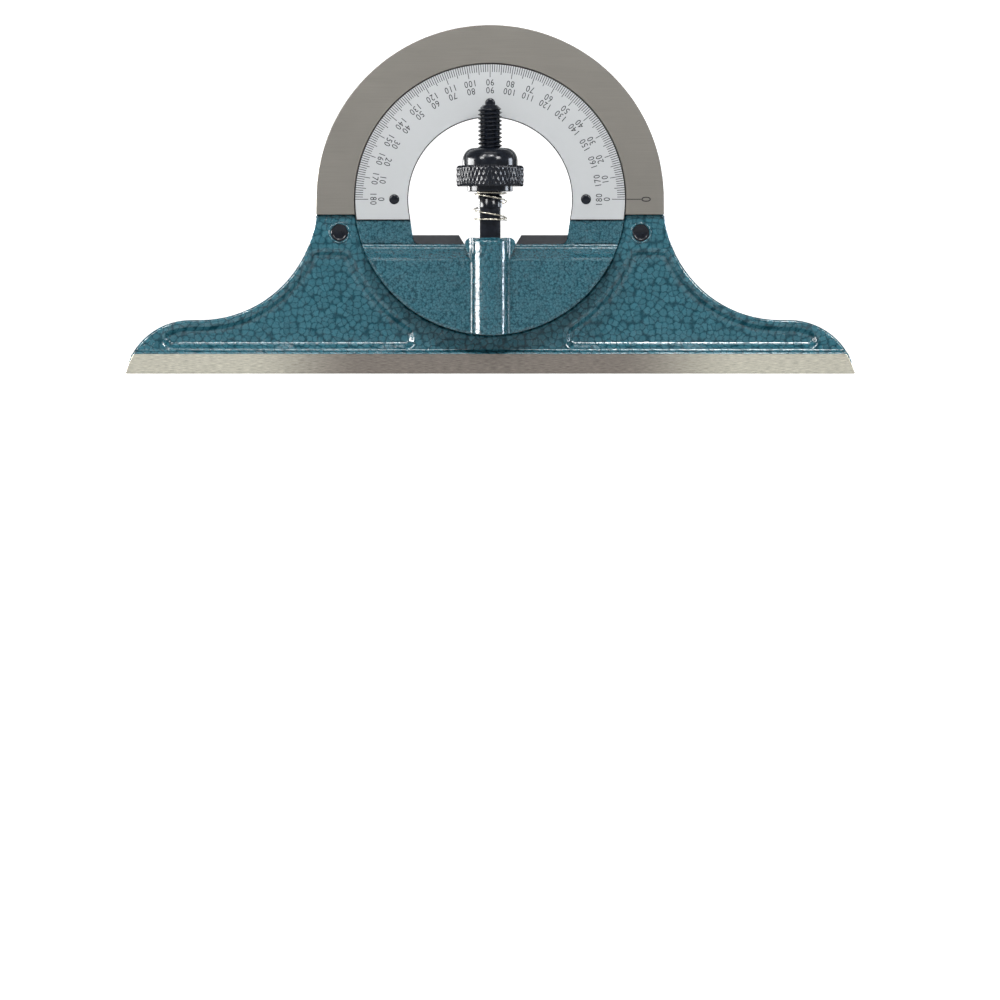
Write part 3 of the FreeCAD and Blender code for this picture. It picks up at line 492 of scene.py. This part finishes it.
def rounded_copy(node, offset, segments, sharp_angle, keep_out):
    """Merged copy of a CAD node with its sharp edges rounded, apart from those in the keep_out spots."""
    bm = merged_copy(node)
    limit = math.radians(sharp_angle)
    chosen = []
    for edge in bm.edges:
        if len(edge.link_faces) != 2 or edge.calc_face_angle(0.0) < limit:
            continue
        middle = (edge.verts[0].co + edge.verts[1].co) / 2
        if not any(math.hypot(middle.x - x, middle.z - z) < radius for x, z, radius in keep_out):
            chosen.append(edge)
    if not chosen:
        raise RuntimeError("no sharp edge was found to round on " + node)
    bmesh.ops.bevel(bm, geom=chosen, offset=offset, offset_type="OFFSET", segments=segments, profile=0.5,
                    affect="EDGES", clamp_overlap=False, material=-1)
    bmesh.ops.remove_doubles(bm, verts=bm.verts[:], dist=0.004 * MM)
    bm.normal_update()
    return bm


def lathe(profile, centre, axis, sides, bm=None):
    """Surface of revolution; profile points are (radius, along), centre and axis place it."""
    made = bm or bmesh.new()
    direction = Vector(axis).normalized()
    side = direction.orthogonal().normalized()
    start = [made.verts.new(Vector(centre) + side * radius + direction * along) for radius, along in profile]
    edges = [made.edges.new(pair) for pair in zip(start, start[1:])]
    bmesh.ops.spin(made, geom=start + edges, cent=Vector(centre), axis=direction, angle=math.tau, steps=sides,
                   use_merge=True, use_duplicate=False)
    bmesh.ops.remove_doubles(made, verts=made.verts[:], dist=WELD)
    return made


def ring_surface(bm, rows, closed_ends):
    """Surface through rows of points; each row is a closed ring of the same number of points."""
    rings = [[bm.verts.new(point) for point in row] for row in rows]
    for near, far in zip(rings, rings[1:]):
        for index in range(len(near)):
            after = (index + 1) % len(near)
            bm.faces.new((near[index], near[after], far[after], far[index]))
    if closed_ends:
        bm.faces.new(list(reversed(rings[0])))
        bm.faces.new(rings[-1])


def triangle_wave(value):
    """0 at whole numbers and 1 halfway between them."""
    share = value - math.floor(value)
    return 1.0 - abs(2.0 * share - 1.0)


def knurled_band(bm, centre, axis, side, radius, low, high, depth, around, rows, per, slant):
    """Knurled band as a height field: crossed grooves if slant is 1, straight ones if it is 0."""
    direction = Vector(axis).normalized()
    first = Vector(side).normalized()
    second = direction.cross(first)
    steps = around * per
    levels = max(2, int(round(rows * per)))
    bevel = 1.2 * depth
    points = []
    for level in range(levels + 1):
        along = low + (high - low) * level / levels
        turn = rows * level / levels * slant
        fade = min(1.0, (along - low) / bevel, (high - along) / bevel)
        row = []
        for step in range(steps):
            angle = math.tau * step / steps
            u = around * step / steps
            height = min(triangle_wave(u + turn / 2 + 0.5), triangle_wave(u - turn / 2 + 0.5))
            reach = radius - depth * (1.0 - height) - depth * (1.0 - fade)
            flat = first * math.cos(angle) + second * math.sin(angle)
            row.append(Vector(centre) + flat * reach + direction * along)
        points.append(row)
    ring_surface(bm, points, False)


def numeral_mesh(text, height):
    """Vertices and faces of a flat numeral in its own plane, centred."""
    cap_share = 0.72
    curve = bpy.data.curves.new("numeral", "FONT")
    curve.body = text
    curve.size = height / cap_share
    curve.align_x = "CENTER"
    curve.align_y = "CENTER"
    curve.space_character = 1.12
    curve.resolution_u = 3
    holder = bpy.data.objects.new("numeral", curve)
    bpy.context.scene.collection.objects.link(holder)
    bpy.context.view_layer.update()
    mesh = bpy.data.meshes.new_from_object(holder.evaluated_get(bpy.context.evaluated_depsgraph_get()))
    points = [vertex.co.copy() for vertex in mesh.vertices]
    faces = [list(polygon.vertices) for polygon in mesh.polygons]
    bpy.data.objects.remove(holder)
    bpy.data.curves.remove(curve)
    bpy.data.meshes.remove(mesh)
    if not points:
        raise RuntimeError("the numeral " + text + " has no outline")
    low = Vector((min(p.x for p in points), min(p.y for p in points), 0))
    high = Vector((max(p.x for p in points), max(p.y for p in points), 0))
    middle = (low + high) / 2
    return [point - middle for point in points], faces


def add_numeral(bm, text, height, centre, up, y):
    """Narrow numeral in the front view at (x, z) whose top points along up."""
    narrow = 0.86
    points, faces = numeral_mesh(text, height)
    right = (up[1], -up[0])
    made = []
    for point in points:
        x = centre[0] + right[0] * point.x * narrow + up[0] * point.y
        z = centre[1] + right[1] * point.x * narrow + up[1] * point.y
        made.append(bm.verts.new((x, y, z)))
    for face in faces:
        bm.faces.new([made[index] for index in face])


def add_line(bm, start, end, width, y):
    """Flat line in the front view between two (x, z) points."""
    along = Vector((end[0] - start[0], end[1] - start[1])).normalized()
    across = (-along.y * width / 2, along.x * width / 2)
    made = []
    for point, sign in ((start, 1), (start, -1), (end, -1), (end, 1)):
        made.append(bm.verts.new((point[0] + sign * across[0], y, point[1] + sign * across[1])))
    bm.faces.new(made)


class PROTRACTOR_OT_finishes(bpy.types.Operator):
    """Makes the finishes and gives them to the CAD nodes that stay in view"""

    bl_idname = "protractor.finishes"
    bl_label = "Make the finishes"

    def execute(self, context):
        MATERIALS.clear()
        MATERIALS.update(make_materials(context.scene.protractor_finish))
        slots = {row["node"]: row["material_slot"] for row in frame["record"]["subparts"]}
        for name, node in frame["nodes"].items():
            finish = "black_plate" if name == "turret_back_plate" else SLOT_FINISH[slots[name]]
            node.data.materials.clear()
            node.data.materials.append(MATERIALS[finish])
        return {"FINISHED"}


class PROTRACTOR_OT_castings(bpy.types.Operator):
    """Builds the rounded castings and the beads of paint round the studs"""

    bl_idname = "protractor.castings"
    bl_label = "Build the castings"

    def execute(self, context):
        settings = context.scene.protractor_castings
        fineness = (settings.segments, settings.sharp_angle)
        spots = spots_at(STUDS, 2.3 * MM) + spots_on_circle(RING_SCREW_ROW, RING_SCREW_ANGLES, 2.6 * MM)
        bm = rounded_copy("stock_casting", settings.stock_round, *fineness, spots)
        front_limit = node_box("stock_casting")[0].y + 0.5 * MM
        under_limit = 0.7 * MM
        for face in bm.faces:
            middle, normal = face.calc_center_median(), face.normal
            front = normal.y < -0.3 and normal.z < 0.2 and middle.y < front_limit
            under = normal.z < -0.2 and middle.z < under_limit
            face.material_index = 1 if front or under else 0
        place_piece("rounded_stock", bm, ["paint_stock", "strip"], "stock", 40.0,
                    ["stock_casting"], True)
        # The bridge's lower corners stay sharp, because the boss's fillet runs out there in very thin faces
        corner_out, corner_down = 4.65 * MM, 15.0 * MM
        centre_x, centre_z = turret_centre()
        spots = spots_at(DIAL_SCREWS, 1.5 * MM)
        spots += spots_on_circle(PLATE_SCREW_ROW, PLATE_SCREW_ANGLES, 1.5 * MM)
        spots += [(centre_x + side * corner_out, centre_z - corner_down, 1.0 * MM) for side in (-1, 1)]
        bm = rounded_copy("turret_casting", settings.turret_round, *fineness, spots)
        place_piece("rounded_turret", bm, ["paint_turret"], "turret", 14.0,
                    ["turret_casting"], True)
        pad_face = -8.8 * MM
        radius, half, steps = settings.paint_ring_radius, settings.paint_ring_thickness, 8
        turns = [math.pi * step / steps for step in range(steps + 1)]
        profile = [(radius + half * math.cos(turn), -half * math.sin(turn)) for turn in turns]
        for side in SIDES:
            centre = middle_of("lock_stud_" + side)
            bead = lathe(profile, (centre.x, pad_face, centre.z), REARWARDS, 48)
            place_piece("paint_bead_" + side, bead, ["paint_stock"], "stock", 40.0)
        return {"FINISHED"}


class PROTRACTOR_OT_steel(bpy.types.Operator):
    """Builds the ground ring and the dial with their softened edges, the dial's edge darkened with painted
    shade
    """

    bl_idname = "protractor.steel"
    bl_label = "Build the ring and the dial"

    def execute(self, context):
        settings = context.scene.protractor_castings
        edge_width = context.scene.protractor_dial.edge_width
        spots = spots_on_circle(RING_SCREW_ROW, RING_SCREW_ANGLES, 1.5 * MM)
        bm = rounded_copy("arc_ring", settings.steel_round, 2, settings.sharp_angle, spots)
        place_piece("soft_arc_ring", bm, ["steel"], "stock", 50.0, ["arc_ring"], True)
        spots = spots_at(DIAL_SCREWS, 1.5 * MM)
        bm = rounded_copy("dial_plate", edge_width, 2, settings.sharp_angle, spots)
        # Painted shade: the dial's rounded edge and sides, every face not turned to the front, take the dark
        # marking fill to stand for the shade in the gap round the dial.
        for face in bm.faces:
            face.material_index = 0 if face.normal.y < -0.95 else 1
        place_piece("soft_dial_plate", bm, ["satin", "marking"], "turret", 50.0,
                    ["dial_plate"], True)
        return {"FINISHED"}


class PROTRACTOR_OT_markings(bpy.types.Operator):
    """Builds the graduations and numerals of the dial and the index of the ring"""

    bl_idname = "protractor.markings"
    bl_label = "Build the markings"

    def execute(self, context):
        settings = context.scene.protractor_dial
        around = turret_centre()
        low, high = node_box("dial_plate")
        y = low.y - settings.proud
        rim = (high.x - low.x) / 2 - 0.05 * MM
        lines = bmesh.new()
        for degree in range(181):
            reach = settings.degree_length
            if degree % 5 == 0:
                reach = settings.five_length
            if degree % 10 == 0:
                reach = settings.ten_length
            inner, outer = polar(around, rim - reach, degree), polar(around, rim, degree)
            add_line(lines, inner, outer, settings.line_width, y)
        place_piece("dial_lines", lines, ["marking"], "turret")
        digits = bmesh.new()
        for degree in range(0, 181, 10):
            up = (-math.cos(math.radians(degree)), -math.sin(math.radians(degree)))
            for text, row in ((str(degree), settings.outer_row), (str(180 - degree), settings.inner_row)):
                add_numeral(digits, text, settings.digit_height, polar(around, row, degree), up, y)
        place_piece("dial_numerals", digits, ["marking"], "turret")
        index = bmesh.new()
        y = node_box("arc_ring")[0].y - settings.proud
        line_start, numeral_out = around[0] + rim + 0.2 * MM, 37.9 * MM
        add_line(index, (line_start, around[1]), (line_start + settings.index_length, around[1]),
                 settings.line_width * 1.3, y)
        add_numeral(index, "0", settings.index_height, (around[0] + numeral_out, around[1]), (-1.0, 0.0), y)
        place_piece("ring_index", index, ["marking"], "stock")
        return {"FINISHED"}


def threaded_stem(settings, radius, axis_y, foot, end):
    """Thread as its profile wound round the stem, with a cone at its end and a run-out at its foot."""
    pitch, depth, sides = settings.thread_pitch, settings.thread_depth, settings.thread_sides
    core, tip = radius - depth, 1.75 * MM
    per = len(THREAD_PROFILE)
    bm = bmesh.new()
    rings = []
    for row in range(-per, int((end - foot) / pitch * per) + 2 * per):
        ring = []
        for side in range(sides):
            share = side / sides
            z = min(max(foot + (row / per + share) * pitch, foot), end)
            reach = min(radius - depth * THREAD_PROFILE[row % per], tip + (end - z), core + (z - foot))
            angle = math.tau * share
            ring.append(bm.verts.new((reach * math.cos(angle), axis_y + reach * math.sin(angle), z)))
        rings.append(ring)
    for index, (near, far) in enumerate(zip(rings, rings[1:])):
        for side in range(sides - 1):
            bm.faces.new((near[side], near[side + 1], far[side + 1], far[side]))
        seam = index + per
        if seam + 1 < len(rings):
            bm.faces.new((near[-1], rings[seam][0], rings[seam + 1][0], far[-1]))
    bmesh.ops.remove_doubles(bm, verts=bm.verts[:], dist=WELD)
    bmesh.ops.dissolve_degenerate(bm, edges=bm.edges[:], dist=WELD)
    cap = []
    for side in range(sides):
        angle = math.tau * side / sides
        cap.append(bm.verts.new((tip * math.cos(angle), axis_y + tip * math.sin(angle), end)))
    bm.faces.new(cap)
    bmesh.ops.remove_doubles(bm, verts=bm.verts[:], dist=WELD)
    return bm


def add_square_shank(bm, axis_y, bottom, top):
    """Square shank with softened edges."""
    tall = top - bottom
    square = bmesh.new()
    bmesh.ops.create_cube(square, size=1.0)
    bmesh.ops.scale(square, vec=(2 * SHANK_HALF, 2 * SHANK_HALF, tall), verts=square.verts[:])
    bmesh.ops.translate(square, vec=(0, axis_y, bottom + tall / 2), verts=square.verts[:])
    bmesh.ops.bevel(square, geom=square.edges[:], offset=0.2 * MM, offset_type="OFFSET", segments=2,
                    profile=0.5, affect="EDGES", material=-1)
    holder = bpy.data.meshes.new("shank")
    square.to_mesh(holder)
    square.free()
    bm.from_mesh(holder)
    bpy.data.meshes.remove(holder)


def add_hook(bm, root_y, tip_y):
    """Tapered hook at the height of the rule's groove."""
    groove_z, root_half, tip_half = 15.3, 1.5, 0.98
    outline = ((root_y, -root_half), (tip_y, -tip_half), (tip_y, tip_half), (root_y, root_half))
    hook = []
    for x in (-SHANK_HALF, SHANK_HALF):
        for y, z in outline:
            hook.append(bm.verts.new((x, y, groove_z * MM + z * MM)))
    bm.faces.new(hook[:4])
    bm.faces.new(hook[4:])
    for index in range(4):
        after = (index + 1) % 4
        bm.faces.new((hook[index], hook[after], hook[4 + after], hook[4 + index]))


class PROTRACTOR_OT_clamp_bolt(bpy.types.Operator):
    """Builds the clamp bolt with its cut thread"""

    bl_idname = "protractor.clamp_bolt"
    bl_label = "Build the clamp bolt"

    def execute(self, context):
        settings = context.scene.protractor_clamp
        low, high = node_box("clamp_bolt")
        radius = (high.x - low.x) / 2
        axis_y = low.y + radius
        centre_z = turret_centre()[1]
        collar_top, collar_foot = centre_z + 0.85 * MM, centre_z - 2.2 * MM
        bm = threaded_stem(settings, radius, axis_y, collar_top, high.z)
        collar = [(0.0, collar_top), (radius - settings.thread_depth, collar_top),
                  (radius - 0.25 * MM, collar_top - 0.1 * MM), (radius, collar_top - 0.4 * MM),
                  (radius, collar_foot), (0.0, collar_foot)]
        lathe(collar, (0, axis_y, 0), UP, 48, bm)
        add_square_shank(bm, axis_y, low.z, collar_foot + 0.2 * MM)
        add_hook(bm, axis_y + SHANK_HALF - 0.1 * MM, high.y)
        place_piece("threaded_bolt", bm, ["black"], "clamp_bolt", 50.0, ["clamp_bolt"])
        return {"FINISHED"}


class PROTRACTOR_OT_clamp_nut(bpy.types.Operator):
    """Builds the clamp nut with its dome and diamond knurl"""

    bl_idname = "protractor.clamp_nut"
    bl_label = "Build the clamp nut"

    def execute(self, context):
        settings = context.scene.protractor_clamp
        low, high = node_box("clamp_nut")
        middle = (low + high) / 2
        centre = (middle.x, middle.y, 0)
        radius = (high.x - low.x) / 2
        base = low.z
        band_low, band_high = base + 1.25 * MM, base + 6.25 * MM
        dome_low, dome_height = band_high + 1.1 * MM, 3.2 * MM
        dome_top = dome_low + dome_height
        bore, foot, neck, core = 3.0 * MM, 5.5 * MM, 6.7 * MM, radius - 0.62 * MM
        flat, shoulder, steps = 4.0 * MM, 2.7 * MM, 12
        bm = lathe([(bore, base), (5.35 * MM, base), (foot, base + 0.15 * MM), (foot, band_low),
                    (core, band_low)], centre, UP, 72)
        dome = [(core, band_high), (6.75 * MM, band_high), (neck, band_high + 0.08 * MM), (neck, dome_low)]
        for step in range(1, steps + 1):
            angle = math.pi / 2 * step / steps
            dome.append((flat + shoulder * math.cos(angle), dome_low + dome_height * math.sin(angle)))
        dome += [(bore + 0.5 * MM, dome_top), (bore, dome_top - 0.5 * MM), (bore, base)]
        lathe(dome, centre, UP, 72, bm)
        knurled_band(bm, centre, UP, RIGHT, radius, band_low, band_high, settings.knurl_depth,
                     settings.knurl_count, settings.knurl_rows, 6, 1)
        place_piece("knurled_clamp_nut", bm, ["black"], "clamp_nut", 30.0, ["clamp_nut"])
        return {"FINISHED"}


class PROTRACTOR_OT_clamp_spring(bpy.types.Operator):
    """Builds the clamp spring as a smooth coil"""

    bl_idname = "protractor.clamp_spring"
    bl_label = "Build the clamp spring"

    def execute(self, context):
        settings = context.scene.protractor_clamp
        centre, nut_base = middle_of("clamp_nut"), node_box("clamp_nut")[0].z
        wire, tall, shrink = 0.45 * MM / 2, 7.1 * MM, 0.97
        radius = SHANK_HALF * math.sqrt(2) + 0.1 * MM + wire
        closed, pitch, opened = 1.0, 0.46 * MM, 1.4
        rise = tall - 2 * wire - 2 * closed * pitch
        turns = 2 * closed + opened
        total = int(turns * settings.spring_steps)
        base = nut_base - tall + wire

        def height(turn):
            loose = min(max(turn - closed, 0.0), opened)
            return (turn - loose) * pitch + loose * rise / opened

        rows = []
        for index in range(total + 1):
            turn = turns * index / total
            angle = -math.tau * turn
            out = Vector((math.cos(angle), math.sin(angle), 0))
            rate = (height(turn + 0.02) - height(turn - 0.02)) / 0.04
            along = Vector((math.sin(angle) * math.tau * radius, -math.cos(angle) * math.tau * radius, rate))
            along.normalize()
            up = along.cross(out)
            centre_line = Vector((centre.x, centre.y, base + height(turn))) + out * radius
            row = []
            for side in range(settings.spring_sides):
                spin = math.tau * side / settings.spring_sides
                row.append(centre_line + (out * math.cos(spin) + up * math.sin(spin)) * wire * shrink)
            rows.append(row)
        bm = bmesh.new()
        ring_surface(bm, rows, True)
        place_piece("coiled_spring", bm, ["wire"], "clamp_spring", 40.0, ["clamp_spring"])
        return {"FINISHED"}


class PROTRACTOR_OT_small_screws(bpy.types.Operator):
    """Builds the domed dial screws and the dished stud heads"""

    bl_idname = "protractor.small_screws"
    bl_label = "Build the small screws"

    def execute(self, context):
        for node in DIAL_SCREWS:
            low, high = node_box(node)
            centre = (low + high) / 2
            head, rod = (high.x - low.x) / 2, 0.8 * MM
            dome, seat = low.y, low.y + 0.65 * MM
            profile = [(0.0, dome), (0.35 * head, dome + 0.012 * MM), (0.6 * head, dome + 0.045 * MM),
                       (0.82 * head, dome + 0.1 * MM), (0.95 * head, dome + 0.18 * MM),
                       (head, dome + 0.3 * MM), (head, seat), (rod, seat), (rod, high.y), (0.0, high.y)]
            bm = lathe(profile, (centre.x, 0, centre.z), REARWARDS, 32)
            place_piece("domed_" + node, bm, ["black"], "turret", 40.0, [node])
        for node in STUDS:
            low, high = node_box(node)
            centre = (low + high) / 2
            head, rod = (high.x - low.x) / 2, 1.75 * MM
            front, neck = low.y, low.y + 2.0 * MM
            profile = [(0.0, front + 0.1 * MM), (0.68 * head, front + 0.09 * MM),
                       (0.78 * head, front + 0.04 * MM), (0.82 * head, front), (0.92 * head, front),
                       (head, front + 0.12 * MM), (head, neck), (rod, neck), (rod, high.y - 0.4 * MM),
                       (rod - 0.4 * MM, high.y), (0.0, high.y)]
            bm = lathe(profile, (centre.x, 0, centre.z), REARWARDS, 36)
            place_piece("dished_" + node, bm, ["black"], "stock", 35.0, [node])
        return {"FINISHED"}


class PROTRACTOR_OT_swivel_locks(bpy.types.Operator):
    """Builds the knurled lock nuts, the spring washers and the shoes at the rear"""

    bl_idname = "protractor.swivel_locks"
    bl_label = "Build the swivel locks"

    def execute(self, context):
        settings = context.scene.protractor_clamp
        bore, hub, knurl_depth = 1.8 * MM, 4.2 * MM, 0.25 * MM
        soft = 0.12 * MM
        rounds = (("lock_shoe_", 6.0 * MM, "black", "black_oxide"),
                  ("lock_washer_", 4.0 * MM, "wire", "spring_wire"))
        for side in SIDES:
            node = "lock_nut_" + side
            low, high = node_box(node)
            centre = (low + high) / 2
            place = (centre.x, 0, centre.z)
            radius = (high.x - low.x) / 2
            inner, front, rear = radius - 0.55 * MM, low.y, high.y
            band, band_end = front + 1.2 * MM, front + 4.5 * MM
            bm = lathe([(bore, front), (hub - 0.15 * MM, front), (hub, front + 0.15 * MM), (hub, band),
                        (inner, band)], place, REARWARDS, 60)
            lathe([(inner, band_end), (hub, band_end), (hub - 0.35 * MM, rear - 0.35 * MM),
                   (hub - 1.0 * MM, rear), (bore + 0.3 * MM, rear), (bore, rear - 0.3 * MM), (bore, front)],
                  place, REARWARDS, 60, bm)
            knurled_band(bm, place, REARWARDS, RIGHT, radius, band, band_end, knurl_depth,
                         settings.lock_knurl_count, 3.0, 4, 0)
            place_piece("knurled_" + node, bm, ["black"], node, 30.0, [node])
            for kind, outer, finish, slot in rounds:
                node = kind + side
                low, high = node_box(node)
                profile = [(bore, low.y), (outer - soft, low.y), (outer, low.y + soft),
                           (outer, high.y - soft), (outer - soft, high.y), (bore + soft, high.y),
                           (bore, high.y - soft), (bore, low.y)]
                bm = lathe(profile, place, REARWARDS, 60)
                place_piece("round_" + node, bm, [finish], "lock_shoe_" + side, 30.0, [node])
        return {"FINISHED"}


def turned_to(place, aim):
    """Rotation of a light or a camera at a place that looks at an aim."""
    return (Vector(aim) - Vector(place)).to_track_quat("-Z", "Y").to_euler()


def make_light(name, size, power, place, aim, colour=(1.0, 1.0, 1.0), gloss_only=False):
    """Soft rectangular light; with gloss_only it shows in reflections and lights nothing else."""
    data = bpy.data.lights.new(name, "AREA")
    data.shape = "RECTANGLE"
    data.size, data.size_y = size
    data.energy = power
    data.color = colour
    made = bpy.data.objects.new(name, data)
    bpy.context.scene.collection.objects.link(made)
    made.location = place
    made.rotation_euler = turned_to(place, aim)
    made.visible_diffuse = not gloss_only


def backdrop_material(lift):
    """Pale matt paper that the camera sees a little brighter and reflections see plain white."""
    paper, black = (0.9, 0.9, 0.9, 1), (0, 0, 0, 1)
    pale = bpy.data.materials.new("Pale backdrop")
    pale.use_nodes = True
    tree = pale.node_tree
    shader = tree.nodes["Principled BSDF"].inputs
    shader["Roughness"].default_value = 0.9
    shader["Specular IOR Level"].default_value = 0.0
    shader["Emission Color"].default_value = (1, 1, 1, 1)
    path = add_node(tree, "ShaderNodeLightPath").outputs
    seen = calculate(tree, "ADD", path["Is Camera Ray"], path["Is Transmission Ray"], use_clamp=True)
    raised = calculate(tree, "MULTIPLY", seen, lift)
    feed(tree, shader, {
        "Base Color": mixed_colour(tree, path["Is Glossy Ray"], paper, black),
        "Emission Strength": calculate(tree, "ADD", raised, path["Is Glossy Ray"]),
    })
    return pale


def make_floor(lift):
    """Floor that curves up into the backdrop behind the object, a hair under the base."""
    half, front, bend, radius, top, steps = 4.0, -3.0, 1.2, 0.8, 4.0, 12
    profile = [(front, 0.0), (bend, 0.0)]
    for step in range(1, steps + 1):
        angle = math.pi / 2 * step / steps
        profile.append((bend + radius * math.sin(angle), radius - radius * math.cos(angle)))
    profile.append((bend + radius, top))
    bm = bmesh.new()
    rows = [[bm.verts.new((x, y, z)) for y, z in profile] for x in (-half, half)]
    for index in range(len(profile) - 1):
        bm.faces.new((rows[0][index], rows[1][index], rows[1][index + 1], rows[0][index + 1]))
    mesh = bpy.data.meshes.new("floor")
    bm.to_mesh(mesh)
    bm.free()
    mesh.polygons.foreach_set("use_smooth", [True] * len(mesh.polygons))
    mesh.materials.append(backdrop_material(lift))
    floor = bpy.data.objects.new("floor", mesh)
    bpy.context.scene.collection.objects.link(floor)
    floor.location = (0, 0, -0.02 * MM)


class PROTRACTOR_OT_stage(bpy.types.Operator):
    """Sets up the pale floor, the backdrop, the soft lights and the camera"""

    bl_idname = "protractor.stage"
    bl_label = "Set up the stage"

    def execute(self, context):
        settings = context.scene.protractor_stage
        scene = context.scene
        scene.view_settings.view_transform = "Standard"
        make_floor(settings.white_lift)
        world = bpy.data.worlds.new("Studio")
        scene.world = world
        world.use_nodes = True
        background = world.node_tree.nodes["Background"]
        background.inputs["Color"].default_value = (1, 1, 1, 1)
        background.inputs["Strength"].default_value = settings.room_light
        aim, cool = (0, 0, 0.04), (0.82, 0.89, 1.0)
        upper, lamp, middle_share = (0.26, 0.26), (0.2, 0.2), 0.4
        make_light("front light", (1.2, 0.8), settings.front_light, (0.0, -1.0, 1.0), aim)
        make_light("top light", (0.6, 0.12), settings.top_light, (0.0, -0.3, 0.75), aim)
        make_light("left light", (1.0, 0.22), settings.left_light, (-0.65, 0.2, 0.11), aim, gloss_only=True)
        make_light("right light", (0.7, 0.22), settings.right_light, (0.65, 0.25, 0.11), aim, cool, True)
        for name, share, place in (("upper left light", 1.0, (-0.52, -0.75, 0.42)),
                                   ("upper middle light", middle_share, (0.0, -0.77, 0.66)),
                                   ("upper right light", 1.0, (0.52, -0.75, 0.42))):
            make_light(name, upper, share * settings.upper_lights, place, aim, gloss_only=True)
        make_light("left lamp", lamp, settings.small_lamps, (-0.52, -0.94, 0.94), aim)
        make_light("right lamp", lamp, settings.small_lamps, (0.15, -1.06, 0.94), aim)
        sensor, dial_side = 36.0, -10 * MM
        data = bpy.data.cameras.new("camera")
        data.sensor_width = sensor
        data.lens = sensor * settings.camera_distance / settings.field
        data.clip_start, data.clip_end = 0.05, 20.0
        camera = bpy.data.objects.new("camera", data)
        scene.collection.objects.link(camera)
        camera.location = (settings.aim_right, dial_side - settings.camera_distance, settings.camera_height)
        target = (settings.aim_right, dial_side, settings.aim_height)
        camera.rotation_euler = turned_to(camera.location, target)
        scene.camera = camera
        return {"FINISHED"}


class PROTRACTOR_PT_looks(bpy.types.Panel):
    """Panel with the settings and the build steps"""

    bl_idname = "PROTRACTOR_PT_looks"
    bl_label = "Bevel Protractor Looks"
    bl_space_type = "VIEW_3D"
    bl_region_type = "UI"
    bl_category = "Protractor"

    def draw(self, context):
        for step in STEPS:
            self.layout.operator(step.bl_idname)
        for name, group in SETTING_GROUPS.items():
            box = self.layout.box()
            settings = getattr(context.scene, name)
            for key in group.__annotations__:
                box.prop(settings, key)


STEPS = (
    PROTRACTOR_OT_finishes,
    PROTRACTOR_OT_castings,
    PROTRACTOR_OT_steel,
    PROTRACTOR_OT_markings,
    PROTRACTOR_OT_clamp_bolt,
    PROTRACTOR_OT_clamp_nut,
    PROTRACTOR_OT_clamp_spring,
    PROTRACTOR_OT_small_screws,
    PROTRACTOR_OT_swivel_locks,
    PROTRACTOR_OT_stage,
)


def register():
    for name, group in SETTING_GROUPS.items():
        bpy.utils.register_class(group)
        setattr(bpy.types.Scene, name, bpy.props.PointerProperty(type=group))
    for step in STEPS:
        bpy.utils.register_class(step)
    bpy.utils.register_class(PROTRACTOR_PT_looks)


def unregister():
    bpy.utils.unregister_class(PROTRACTOR_PT_looks)
    for step in reversed(STEPS):
        bpy.utils.unregister_class(step)
    for name, group in reversed(list(SETTING_GROUPS.items())):
        delattr(bpy.types.Scene, name)
        bpy.utils.unregister_class(group)


def main():
    """Registers the add-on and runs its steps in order."""
    register()
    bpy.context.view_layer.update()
    bpy.ops.protractor.finishes()
    bpy.ops.protractor.castings()
    bpy.ops.protractor.steel()
    bpy.ops.protractor.markings()
    bpy.ops.protractor.clamp_bolt()
    bpy.ops.protractor.clamp_nut()
    bpy.ops.protractor.clamp_spring()
    bpy.ops.protractor.small_screws()
    bpy.ops.protractor.swivel_locks()
    bpy.ops.protractor.stage()


if __name__ == "__main__":
    main()
